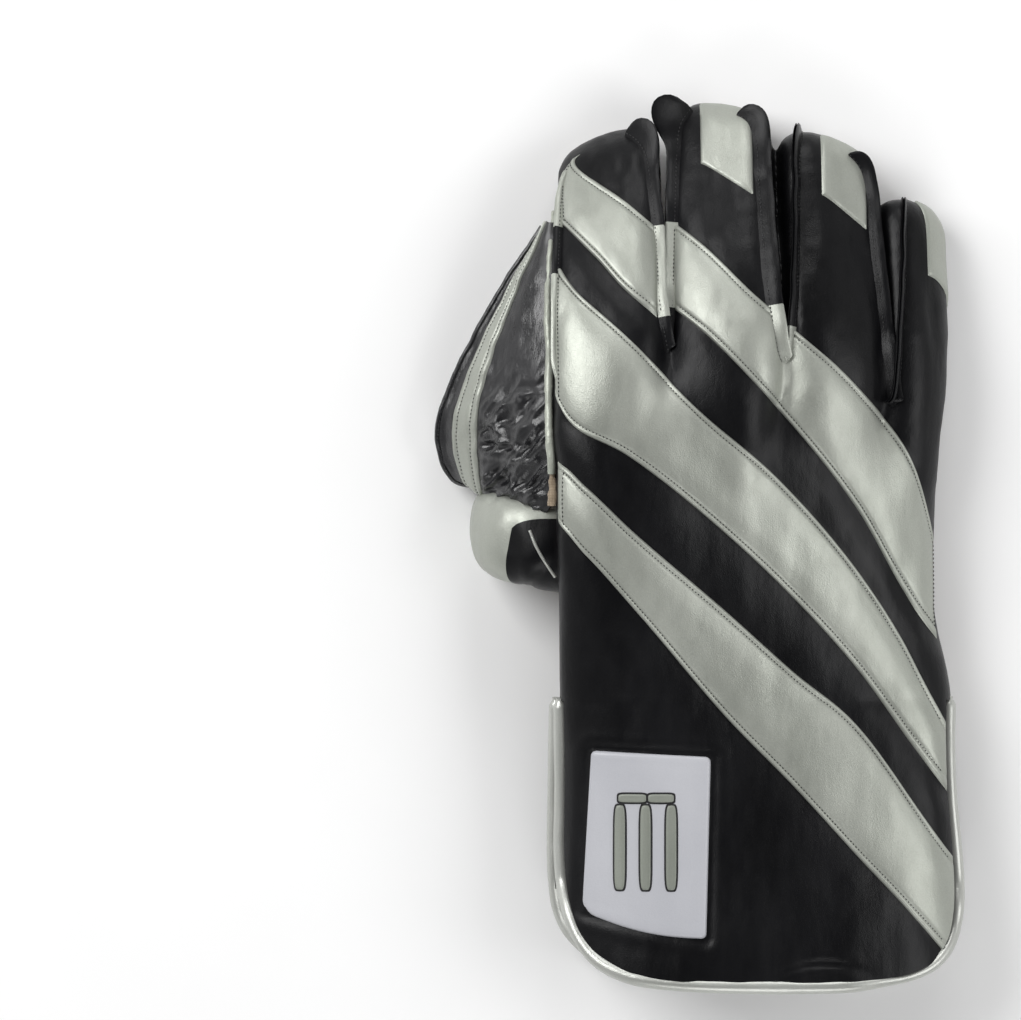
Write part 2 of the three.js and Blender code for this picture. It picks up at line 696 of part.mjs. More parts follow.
// Palm
const gussetRight = handRow(palmEdge).centre - handRow(palmEdge).reach + gussetReach;
const gussetSpan = (gap) =>
  block(
    new THREE.Vector3(-reach, palmEdge - gap, -reach),
    new THREE.Vector3(gussetRight + gap, palmEdge + gussetWidth + gap, reach),
  );
add("wrist_gusset", palmHalf.intersect(gussetSpan(0)).subtract(room), clothGrey);
add("palm_facing",
  palmHalf.intersect(beyond(palmEdge)).subtract(gussetSpan(seamGap)).subtract(room),
  rubberGrey);

// Finger stalls: each gives way to the ones before it
fingerTable.forEach((finger, i) => {
  const neighbours = union([prism(crotchOutline(seamGap)), ...dressedForms.slice(0, i)]);
  const flanges = finger.flanges.map((turn) => fingerFlange(finger, turn));
  const shell = (solid) => solid.subtract(neighbours).subtract(fingerRooms[i]).intersect(aboveFloor);
  const back = union([fingerStall(finger, 0, HALF.back), ...flanges]);
  add(`finger_back_${finger.name}`, shell(back), leatherBlack);
  add(`finger_front_${finger.name}`, shell(fingerStall(finger, 0, HALF.palm)), rubberGrey);
});

// Thumb stall
const thumbShell = (half) =>
  thumbStall(0, half).subtract(handForm).subtract(thumbRoom).intersect(aboveFloor);
add("thumb_base", thumbShell(HALF.back).subtract(beyondThumb(thumbPatchStart)), leatherBlack);
add("thumb_tip_patch",
  thumbShell(HALF.back).intersect(beyondThumb(thumbPatchStart + seamGap / thumbCurve.getLength())),
  leatherSilver);
add("thumb_front", thumbShell(HALF.palm), rubberGrey);

// Web
const overStripes = stripeLift + stripeThickness + seamGap;
const webTrim = union([
  hand(overStripes),
  fingerStall(fingerTable[0], overStripes),
  ...flangeForms(fingerTable[0]),
  thumbForm,
]);
const webPiece = (solid) => solid.subtract(webTrim).intersect(aboveFloor);
const webTop = webLeather + seamGap;
add("web_leather", webPiece(webLayer(0, webLeather)), leatherBlack);
add("web_rubber", webPiece(webLayer(-seamGap, -seamGap - webRubber)), rubberGrey);
add("web_band",
  webPiece(webLayer(webLeather, webTop + stripeThickness, webBand.inner, webBand.outer)
    .subtract(webLayer(0, webTop))),
  leatherSilver);

// Silver bands sewn on the back
const backSkin = (low, high) => {
  const form = (grow, half) =>
    union([hand(grow, half), ...fingerTable.map((finger) => fingerStall(finger, grow, half))]);
  return form(high, HALF.back).subtract(form(low, HALF.whole));
};
const insideMouth = prism(mouthOutline(backMouthEdge));
const stripeSkin = backSkin(stripeLift, stripeLift + stripeThickness)
  .intersect(insideMouth)
  .subtract(pipingForms)
  .subtract(thumbForm)
  .subtract(union(fingerTable.flatMap(flangeForms)));
for (const [name, rows] of Object.entries(stripeTable)) {
  add(name, largest(stripeSkin.intersect(prism(bandOutline(rows)))), leatherSilver);
}
for (const patch of tipPatchTable) {
  const finger = fingerTable.find((row) => row.name === patch.finger);
  const half = (fingerWidth / 2) * finger.width;
  const left = across(finger.tipX) + patch.left * half;
  const right = across(finger.tipX) + patch.right * half;
  const leftTip = left + tipPatchTaper;
  const rightTip = right - tipPatchTaper;
  const outline = [
    new THREE.Vector2(left, along(patch.leftLower)),
    new THREE.Vector2(right, along(patch.rightLower)),
    new THREE.Vector2(right, along(finger.tipAlong) - fingerRounding),
    new THREE.Vector2(rightTip, along(finger.tipAlong)),
    new THREE.Vector2(rightTip, gloveLength),
    new THREE.Vector2(leftTip, gloveLength),
    new THREE.Vector2(leftTip, along(finger.tipAlong)),
    new THREE.Vector2(left, along(finger.tipAlong) - fingerRounding),
  ];
  add(`tip_patch_${finger.name}`, largest(stripeSkin.intersect(prism(outline))), leatherSilver);
}

// Badge with its emblem, and the silver panel of the cuff's palm side
const badgeTop = seamGap + badgeThickness;
const layerOnCuff = (low, high) =>
  hand(high, HALF.back).subtract(hand(low)).intersect(insideMouth).subtract(pipingForms);
const badgeOutline = cornersOutline(badgeCorners);
const badgeMiddle = badgeOutline
  .reduce((sum, p) => sum.add(p), new THREE.Vector2())
  .divideScalar(badgeOutline.length);
add("badge", layerOnCuff(seamGap, badgeTop).intersect(prism(badgeOutline)), badgeGrey);
const bar = (x, width, low, high) =>
  block(
    new THREE.Vector3(badgeMiddle.x + x - width / 2, badgeMiddle.y + low, -reach),
    new THREE.Vector3(badgeMiddle.x + x + width / 2, badgeMiddle.y + high, reach),
  );
const stumps = [-1, 0, 1].map((i) => bar(i * stumpPitch, stumpWidth, -stumpLength / 2, stumpLength / 2));
const bail = bar(0, 2 * stumpPitch + stumpWidth, stumpLength / 2 - bailWidth, stumpLength / 2);
add("badge_emblem",
  layerOnCuff(badgeTop + seamGap, badgeTop + seamGap + emblemRelief).intersect(union([...stumps, bail])),
  emblemGrey);
add("inner_cuff_patch", cuffPatchForm.intersect(aboveFloor), leatherSilver);

// Puts the middle of the bounding box's underside at the origin.
const box = new THREE.Box3().setFromObject(group);
group.position.set(-(box.min.x + box.max.x) / 2, -(box.min.y + box.max.y) / 2, -box.min.z);

export default group;
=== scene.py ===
"""Looks of a wicketkeeping glove for the right hand, lying palm down.

Shapes are worked out in the part's own millimetres, with the fingers along +Y and the
thumb on the -X side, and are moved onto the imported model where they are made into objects.
"""

import logging
import math
from dataclasses import dataclass, field
from enum import Enum
from typing import Callable, Sequence

import bpy
import numpy as np
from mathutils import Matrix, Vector
from mathutils.bvhtree import BVHTree

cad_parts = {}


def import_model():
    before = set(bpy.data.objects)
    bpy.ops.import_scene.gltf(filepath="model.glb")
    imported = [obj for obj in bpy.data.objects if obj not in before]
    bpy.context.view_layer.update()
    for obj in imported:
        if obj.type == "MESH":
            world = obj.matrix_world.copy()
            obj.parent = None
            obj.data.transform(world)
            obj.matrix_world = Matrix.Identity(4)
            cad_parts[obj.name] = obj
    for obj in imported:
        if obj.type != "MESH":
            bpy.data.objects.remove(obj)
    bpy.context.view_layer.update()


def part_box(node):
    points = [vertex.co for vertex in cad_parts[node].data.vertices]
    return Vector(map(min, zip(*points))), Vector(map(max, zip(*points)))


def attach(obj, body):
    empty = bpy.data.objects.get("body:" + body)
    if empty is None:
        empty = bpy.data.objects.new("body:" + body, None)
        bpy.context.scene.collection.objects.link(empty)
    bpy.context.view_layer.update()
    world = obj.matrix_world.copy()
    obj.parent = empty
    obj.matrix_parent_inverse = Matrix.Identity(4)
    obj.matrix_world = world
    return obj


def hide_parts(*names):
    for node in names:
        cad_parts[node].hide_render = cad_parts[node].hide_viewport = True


logging.basicConfig(level=logging.INFO, format="%(message)s")
log = logging.getLogger("glove")

Array = np.ndarray
Material = bpy.types.Material
Socket = bpy.types.NodeSocket
Triangles = tuple[Array, Array]  # points and faces

MM = 0.001
EMBLEM_MIDDLE = (-45.777, 48.10)  # middle of the badge's emblem in the part's millimetres
LENGTH = 344.0  # palm panel's mouth to the middle fingertip
HALF_WIDTH = 77.0  # half of the cuff's width
HEIGHT = 58.0  # height of the cuff's open mouth
WRIST_SEAM = 111.0  # where the cuff meets the back of the hand
PALM_EDGE = 97.0  # where the palm's rubber ends
ELASTIC_WIDTH = 10.0
GUSSET_WIDTH = 14.0
GUSSET_RIGHT = -27.0  # how far the gusset reaches across the palm
SQUARENESS = 2.5  # of the hand's sections, 2 for round
FINGER_START = 206.4  # where the fingers' shares are counted from
UP = np.array([0.0, 0.0, 1.0])
MOUTH_MIDDLE = np.array([0.0, 75.0, 0.0])  # a place inside the cuff, from which its edges face away
BADGE_SIZE = (46.0, 68.0)
WEB_SIZE = (42.0, 120.0)  # across and along the web laid flat
END_CURVE = 2.4  # how squarely the ends of the stalls round off
SHARP_ANGLE = 64.0  # degrees between faces that aren't shaded as one
RAY_HEIGHT = 150.0  # above all of the glove


class Part(Enum):
    """The halves of a form, above and below its side seams."""

    BACK = 1
    PALM = -1


# tables
# Hand sections: along, left, right, left rise, right rise, crown, depth, all shares.
HAND_ROWS = np.array([
    (-0.04, -0.985, 0.985, 0.50, 0.50, 0.50, 0.53),
    (0.02, -0.985, 0.985, 0.50, 0.50, 0.50, 0.53),
    (0.12, -0.98, 0.99, 0.52, 0.48, 0.47, 0.53),
    (0.24, -0.97, 0.965, 0.57, 0.42, 0.43, 0.48),
    (0.33, -0.98, 0.965, 0.66, 0.33, 0.41, 0.42),
    (0.43, -0.985, 0.89, 0.78, 0.27, 0.42, 0.38),
    (0.54, -1.00, 0.90, 0.88, 0.24, 0.43, 0.28),
    (0.64, -1.03, 0.93, 0.91, 0.22, 0.40, 0.17),
    (0.74, -1.03, 0.93, 0.88, 0.20, 0.36, 0.14),
])
# Finger crotches: x, y in millimetres.
CROTCH_ROWS = np.array([
    (-95.0, 240.0), (-58.0, 243.0), (-35.0, 240.0), (-13.0, 243.0), (9.0, 236.5),
    (30.0, 233.0), (51.5, 220.0), (66.0, 214.0), (90.0, 208.0),
])
# Silver bands: x share, upper and lower edge shares.
BAND_ROWS = {
    "index": np.array([
        (-1.02, 0.928, 0.85), (-0.98, 0.922, 0.845), (-0.81, 0.898, 0.812), (-0.67, 0.876, 0.776),
        (-0.505, 0.844, 0.744),
    ]),
    "upper": np.array([
        (-0.408, 0.85, 0.752), (-0.25, 0.82, 0.722), (-0.03, 0.77, 0.672), (0.19, 0.728, 0.618),
        (0.49, 0.667, 0.532), (0.75, 0.594, 0.434), (0.93, 0.5, 0.39),
    ]),
    "middle": np.array([
        (-1.06, 0.808, 0.658), (-0.96, 0.785, 0.631), (-0.65, 0.722, 0.592), (-0.3, 0.642, 0.532),
        (0.1, 0.565, 0.451), (0.48, 0.468, 0.359), (0.73, 0.382, 0.282), (0.93, 0.287, 0.217),
    ]),
    "lower": np.array([
        (-1.06, 0.586, 0.52), (-0.93, 0.572, 0.5), (-0.6, 0.505, 0.42), (-0.17, 0.423, 0.307),
        (0.17, 0.355, 0.229), (0.48, 0.297, 0.153), (0.78, 0.205, 0.08), (0.95, 0.147, 0.03),
    ]),
}
# Web between the index finger and the thumb: u, inner x, along, rise, rim x, along, rise.
WEB_ROWS = np.array([
    (0 / 7, -0.975, 0.85, 0.53, -1.02, 0.85, 0.47),
    (1 / 7, -0.98, 0.785, 0.71, -1.2, 0.79, 0.42),
    (2 / 7, -0.985, 0.71, 0.84, -1.42, 0.71, 0.33),
    (3 / 7, -0.985, 0.65, 0.88, -1.54, 0.645, 0.25),
    (4 / 7, -0.98, 0.59, 0.88, -1.55, 0.60, 0.19),
    (5 / 7, -1.02, 0.535, 0.80, -1.50, 0.572, 0.15),
    (6 / 7, -1.15, 0.53, 0.58, -1.40, 0.563, 0.13),
    (7 / 7, -1.18, 0.53, 0.30, -1.29, 0.56, 0.12),
])
# Thumb centreline: x, along, rise shares.
THUMB_ROWS = np.array([
    (-0.62, 0.488, 0.44), (-0.92, 0.493, 0.54), (-1.09, 0.50, 0.55), (-1.195, 0.507, 0.44),
    (-1.225, 0.513, 0.22), (-1.20, 0.518, 0.0),
])
# Edges of the cuff's panels round the mouth, from the left seam to the right: x, y.
BACK_EDGE = np.array([
    (-75.0, 112.0), (-74.6, 91.0), (-74.6, 70.0), (-74.8, 55.0), (-73.0, 36.0), (-68.0, 21.6),
    (-61.2, 13.2), (-50.6, 7.8), (-38.0, 5.4), (-22.0, 4.3), (2.0, 3.9), (30.0, 3.9), (46.0, 5.4),
    (58.0, 7.4), (67.0, 11.8), (73.0, 19.8), (75.6, 31.0), (76.0, 43.0), (75.2, 56.0),
    (73.8, 73.0), (73.2, 92.0), (73.4, 112.0),
])
PALM_EDGE_ROWS = np.array([
    (-76.4, 112.0), (-76.8, 90.0), (-77.2, 70.0), (-77.2, 48.0), (-76.2, 35.0), (-72.8, 24.6),
    (-66.6, 16.6), (-57.5, 9.6), (-44.0, 5.2), (-25.0, 3.2), (2.0, 2.6), (29.0, 2.6), (40.0, 4.0),
    (50.0, 6.0), (60.0, 8.2), (69.0, 13.8), (74.4, 25.0), (75.4, 42.0), (74.6, 64.0),
    (73.0, 90.0), (72.6, 112.0),
])
# Corners of the badge and of the silver panel inside the cuff: x, y.
BADGE_CORNERS = np.array([(-66.9, 31.5), (-20.0, 21.7), (-18.2, 90.4), (-63.5, 92.7)])
CUFF_PATCH = np.array([(-60.0, 65.0), (-44.0, 24.0), (10.8, 82.6), (-46.0, 82.6)])


def smooth_rows(rows: Array, place: Array) -> Array:
    """Reads a table along smooth curves.

    Args:
        rows: a table whose first column is the place.
        place: where to read it, any shape.
    Returns:
        The other columns at each place, on a last axis.
    """
    keys, values = rows[:, 0], rows[:, 1:]
    place = np.clip(place, keys[0], keys[-1])
    i = np.clip(np.searchsorted(keys, place, side="right") - 1, 0, len(keys) - 2)
    slopes = np.diff(values, axis=0) / np.diff(keys)[:, None]
    knots = np.vstack([slopes[:1], (slopes[1:] + slopes[:-1]) / 2, slopes[-1:]])
    step = (keys[i + 1] - keys[i])[..., None]
    t = ((place - keys[i])[..., None]) / step
    t2, t3 = t * t, t * t * t
    return ((2 * t3 - 3 * t2 + 1) * values[i] + (t3 - 2 * t2 + t) * step * knots[i]
            + (3 * t2 - 2 * t3) * values[i + 1] + (t3 - t2) * step * knots[i + 1])


def signed_power(value: Array, power: float) -> Array:
    """Raises the size of a value to a power and keeps its sign."""
    return np.sign(value) * np.abs(value) ** power


def smoothstep(value: Array, low: float, high: float) -> Array:
    """Eases from 0 at low to 1 at high."""
    t = np.clip((value - low) / (high - low), 0, 1)
    return t * t * (3 - 2 * t)


def noise(points: Array, scale: Sequence[float] | float, seed: int) -> Array:
    """Smooth lattice noise between -1 and 1.

    Args:
        points: places in millimetres.
        scale: size of the swells along each axis in millimetres.
        seed: which pattern.
    Returns:
        The noise at each place.
    """
    p = points / np.asarray(scale, float) + seed * 17.31
    base = np.floor(p).astype(np.int64)
    t = p - base
    t = t * t * t * (t * (6 * t - 15) + 10)
    total = np.zeros(len(p))
    for dx, dy, dz in np.ndindex(2, 2, 2):
        h = ((base[:, 0] + dx) * 73856093 ^ (base[:, 1] + dy) * 19349663
             ^ (base[:, 2] + dz) * 83492791 ^ seed * 2654435761)
        h = (h ^ (h >> 13)) * 1274126177 & 0xFFFFFFFF
        h = (h ^ (h >> 16)) & 0xFFFFFFFF
        weight = (np.where(dx, t[:, 0], 1 - t[:, 0]) * np.where(dy, t[:, 1], 1 - t[:, 1])
                  * np.where(dz, t[:, 2], 1 - t[:, 2]))
        total += weight * (h / 0x7FFFFFFF - 1)
    return total


def unit(vectors: Array) -> Array:
    """Vectors of length one."""
    return vectors / np.maximum(np.linalg.norm(vectors, axis=-1, keepdims=True), 1e-9)


def outline_distance(points: Array, outline: Array) -> Array:
    """Distance in plan to a closed outline.

    Args:
        points: places, of which x and y are read.
        outline: corners in plan.
    Returns:
        The distance in millimetres, above zero inside the outline.
    """
    best = np.full(len(points), 1e9)
    inside = np.zeros(len(points), bool)
    x, y = points[:, 0], points[:, 1]
    for (ax, ay), (bx, by) in zip(outline, np.roll(outline, -1, axis=0)):
        dx, dy = bx - ax, by - ay
        t = np.clip(((x - ax) * dx + (y - ay) * dy) / max(dx * dx + dy * dy, 1e-12), 0, 1)
        best = np.minimum(best, (x - ax - t * dx) ** 2 + (y - ay - t * dy) ** 2)
        cross = (ay > y) != (by > y)
        inside ^= cross & (x < (bx - ax) * (y - ay) / (by - ay if by != ay else 1e-9) + ax)
    best = np.sqrt(best)
    return np.where(inside, best, -best)


def run_of(path: Array) -> Array:
    """Distance along a path at each of its points."""
    return np.concatenate([[0], np.cumsum(np.linalg.norm(np.diff(path, axis=0), axis=1))])


def read_along(at: Array, run: Array, rows: Array) -> Array:
    """Rows, one for each distance in run, read at other distances."""
    return np.column_stack([np.interp(at, run, column) for column in rows.T])


def resample(path: Array, step: float) -> Array:
    """Points at equal steps along a path, on a smooth curve through its corners.

    Args:
        path: points in order.
        step: distance between the new points.
    Returns:
        The new points, the two ends among them.
    """
    length = run_of(path)
    keep = np.concatenate([[True], np.diff(length) > 1e-6])
    rows = np.column_stack([length[keep], path[keep]])
    dense = smooth_rows(rows, np.linspace(0, rows[-1, 0], max(int(rows[-1, 0] / step * 4), 8)))
    run = run_of(dense)
    even = np.linspace(0, run[-1], max(int(round(run[-1] / step)), 2) + 1)
    return read_along(even, run, dense)


def turns(count: int) -> Array:
    """Even turns round a circle."""
    return np.linspace(0, 2 * math.pi, count, endpoint=False)


def squarish(turn: Array, squareness: float) -> tuple[Array, Array]:
    """Places on a rounded square from -1 to 1, which is a circle for a squareness of 2."""
    return signed_power(np.cos(turn), 2 / squareness), signed_power(np.sin(turn), 2 / squareness)


def rounded_off(into: Array) -> Array:
    """Share of a stall's section left, where into goes from 0 to 1 at its end."""
    return (1 - into**END_CURVE) ** (1 / END_CURVE)


def soften(rows: Array, rounds: int) -> None:
    """Evens out neighbouring rows in place, apart from the first and the last."""
    for _ in range(rounds):
        rows[1:-1] = (rows[:-2] + 2 * rows[1:-1] + rows[2:]) / 4


def bell(value: Array, middle: float, width: float) -> Array:
    """A rounded rise from 0 to 1 and back, with its top at middle."""
    return np.exp(-(((value - middle) / width) ** 2))


def lay_on_floor(points: Array) -> None:
    """Raises points that are below the floor onto it, in place."""
    points[..., 2] = np.maximum(points[..., 2], 0.0)


def joined_parts(parts: Sequence[Triangles]) -> Triangles:
    """Points and faces of several meshes as one.

    Args:
        parts: points and faces of each mesh.
    Returns:
        Points and faces of the whole.
    """
    starts = np.cumsum([0] + [len(points) for points, _ in parts[:-1]])
    return (np.vstack([points for points, _ in parts]),
            np.vstack([faces + start for (_, faces), start in zip(parts, starts)]))


# surfaces
@dataclass
class Surface:
    """Triangles with a normal at each point, in the part's millimetres."""

    points: Array
    faces: Array
    normals: Array = field(default=None)

    def __post_init__(self) -> None:
        """Averages normals from the triangles round each point if none are given."""
        if self.normals is None:
            a, b, c = (self.points[self.faces[:, k]] for k in range(3))
            total = np.zeros_like(self.points)
            for k in range(3):
                np.add.at(total, self.faces[:, k], np.cross(b - a, c - a))
            self.normals = unit(total)

    @property
    def edges(self) -> Array:
        """The three edges of each triangle."""
        return np.vstack([self.faces[:, [0, 1]], self.faces[:, [1, 2]], self.faces[:, [2, 0]]])

    def facing(self, away: Array) -> "Surface":
        """The surface with its front on the side that away points to."""
        return self if (self.normals * away).sum() >= 0 else Surface(self.points, self.faces[:, ::-1])

    def smoothed(self, rounds: int, weight: Array | float = 1.0) -> "Surface":
        """The surface after each point moves towards its neighbours' middle.

        Args:
            rounds: how often the points move.
            weight: share of each move, one for all or one for each point.
        Returns:
            The smoothed surface.
        """
        edges = self.edges
        count = np.zeros(len(self.points))
        np.add.at(count, edges[:, 0], 1)
        np.add.at(count, edges[:, 1], 1)
        points = self.points.copy()
        share = 0.5 * (np.asarray(weight)[:, None] if np.ndim(weight) else weight)
        for _ in range(rounds):
            total = np.zeros_like(points)
            np.add.at(total, edges[:, 0], points[edges[:, 1]])
            np.add.at(total, edges[:, 1], points[edges[:, 0]])
            points += share * (total / np.maximum(count, 1)[:, None] - points)
        return Surface(points, self.faces)

    def split(self, value_at: Callable[[Array], Array]) -> tuple["Surface", "Surface"]:
        """Cuts the surface along the zero line of a field.

        Args:
            value_at: the field's value at each of some points.
        Returns:
            The surface where the field is above zero, and the rest.
        """
        value = value_at(self.points)
        value = np.where(np.abs(value) < 0.05, 0.0, value)
        sign = np.sign(value).astype(int)
        corner = sign[self.faces]
        mixed = (corner.max(1) > 0) & (corner.min(1) < 0)
        above = [self.faces[~mixed & (corner.sum(1) >= 0)]]
        below = [self.faces[~mixed & (corner.sum(1) < 0)]]
        points, normals = list(self.points), list(self.normals)
        made: dict[tuple[int, int], int] = {}

        def middle(a: int, b: int) -> int:
            """The new point where an edge crosses zero.

            Args:
                a: point at one end of the edge.
                b: point at the other end.
            Returns:
                The number of the new point.
            """
            key = (min(a, b), max(a, b))
            if key not in made:
                t = value[a] / (value[a] - value[b])
                points.append(points[a] * (1 - t) + points[b] * t)
                normals.append(normals[a] * (1 - t) + normals[b] * t)
                made[key] = len(points) - 1
            return made[key]

        up: list[tuple[int, int, int]] = []
        down: list[tuple[int, int, int]] = []
        for tri in self.faces[mixed]:
            signs = sign[tri]
            touching = (signs == 0).any()
            lone = np.argmin(np.abs(signs)) if touching else np.argmax(signs * -np.sign(signs.sum()))
            a, b, c = np.roll(tri, -int(lone))
            if touching:
                m = middle(b, c)
                (up if sign[b] > 0 else down).append((a, b, m))
                (up if sign[c] > 0 else down).append((a, m, c))
            else:
                m, n = middle(a, b), middle(a, c)
                (up if sign[a] > 0 else down).append((a, m, n))
                (up if sign[b] > 0 else down).extend([(m, b, c), (m, c, n)])
        both = []
        for plain, cut in ((above, up), (below, down)):
            faces = np.vstack(plain + ([np.array(cut)] if cut else []))
            used, index = np.unique(faces, return_inverse=True)
            turned = unit(np.array(normals))[used]
            both.append(Surface(np.array(points)[used], index.reshape(-1, 3), turned))
        return both[0], both[1]

    def thickened(self, wall: float) -> tuple[Array, Array, Array]:
        """Points, faces and material places of the surface with a wall behind it.

        Args:
            wall: thickness in millimetres, inwards.
        Returns:
            Material place 0 is the outside and the rim, and 1 the inside.
        """
        n = len(self.points)
        points = np.vstack([self.points, self.points - self.normals * wall])
        edges = self.edges
        key = np.sort(edges, axis=1)
        _, index, counts = np.unique(key, axis=0, return_inverse=True, return_counts=True)
        border = edges[counts[index.ravel()] == 1]
        rim = np.vstack([
            np.column_stack([border[:, 0], border[:, 0] + n, border[:, 1] + n]),
            np.column_stack([border[:, 0], border[:, 1] + n, border[:, 1]]),
        ])
        faces = np.vstack([self.faces, self.faces[:, ::-1] + n, rim])
        places = np.concatenate([np.zeros(len(self.faces)), np.ones(len(self.faces)), np.zeros(len(rim))])
        return points, faces, places.astype(int)


def grid_faces(rows: int, columns: int, closed: bool = False) -> Array:
    """Triangles over a grid of points, rows first.

    Args:
        rows: rows of points.
        columns: points in a row.
        closed: whether the columns meet.
    Returns:
        Three point numbers for each triangle.
    """
    across = columns if closed else columns - 1
    r, c = np.meshgrid(np.arange(rows - 1), np.arange(across), indexing="ij")
    a = (r * columns + c).ravel()
    b = (r * columns + (c + 1) % columns).ravel()
    d = ((r + 1) * columns + c).ravel()
    e = ((r + 1) * columns + (c + 1) % columns).ravel()
    return np.vstack([np.column_stack([a, b, e]), np.column_stack([a, e, d])])


def closed_tube(rings: Array) -> Triangles:
    """A closed form through rings of points.

    Args:
        rings: points, shaped rows, round, 3.
    Returns:
        Points and faces, with a cap at each end.
    """
    rows, round_, _ = rings.shape
    points = np.vstack([rings.reshape(-1, 3), rings[0].mean(0), rings[-1].mean(0)])
    k = np.arange(round_)
    nxt = (k + 1) % round_
    last = (rows - 1) * round_
    caps = np.vstack([
        np.column_stack([np.full(round_, rows * round_), nxt, k]),
        np.column_stack([np.full(round_, rows * round_ + 1), last + k, last + nxt]),
    ])
    return points, np.vstack([grid_faces(rows, round_, closed=True), caps])


def shown(name: str, data: bpy.types.ID) -> bpy.types.Object:
    """Puts a new object in the scene.

    Args:
        name: its name.
        data: its mesh, lamp or camera.
    Returns:
        The object.
    """
    obj = bpy.data.objects.new(name, data)
    bpy.context.scene.collection.objects.link(obj)
    return obj


class Frame:
    """Places objects that are worked out in the part's millimetres."""

    def __init__(self) -> None:
        """Finds the shift from the part's millimetres from where its emblem is."""
        low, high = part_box("badge_emblem")
        middle = [(low[k] + high[k]) / 2 / MM for k in range(3)]
        self.shift = np.array([middle[0] - EMBLEM_MIDDLE[0], middle[1] - EMBLEM_MIDDLE[1], 0.0])

    def make(self, name: str, points: Array, faces: Array, finishes: Sequence[Material],
             slot: str, replaces: Sequence[str] = (), places: Array | None = None,
             flat: Array | None = None) -> bpy.types.Object:
        """Makes a smooth-shaded object that rides with the glove.

        Args:
            name: the piece's name.
            points: its points in the part's millimetres.
            faces: triangles.
            finishes: its materials.
            slot: not used.
            replaces: CAD nodes it stands for.
            places: which material each triangle takes.
            flat: where each point is on the flat sheet that the piece is cut from.
        Returns:
            The object.
        """
        mesh = bpy.data.meshes.new(name)
        mesh.vertices.add(len(points))
        mesh.vertices.foreach_set("co", ((points + self.shift) * MM).astype(np.float32).ravel())
        mesh.loops.add(len(faces) * 3)
        mesh.loops.foreach_set("vertex_index", faces.astype(np.int32).ravel())
        mesh.polygons.add(len(faces))
        mesh.polygons.foreach_set("loop_start", np.arange(0, len(faces) * 3, 3, dtype=np.int32))
        mesh.polygons.foreach_set("use_smooth", np.ones(len(faces), bool))
        if places is not None:
            mesh.polygons.foreach_set("material_index", places.astype(np.int32))
        mesh.update(calc_edges=True)
        if flat is not None:
            sheet = mesh.attributes.new("flat", "FLOAT_VECTOR", "POINT")
            level = np.column_stack([flat, 0 * flat[:, :1]])
            sheet.data.foreach_set("vector", level.astype(np.float32).ravel())
        mesh.validate()
        mesh.set_sharp_from_angle(angle=math.radians(SHARP_ANGLE))
        for finish in finishes:
            mesh.materials.append(finish)
        obj = shown(name, mesh)
        if replaces:
            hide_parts(*replaces)
        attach(obj, "root")
        log.info("%s: %d triangles", name, len(faces))
        return obj


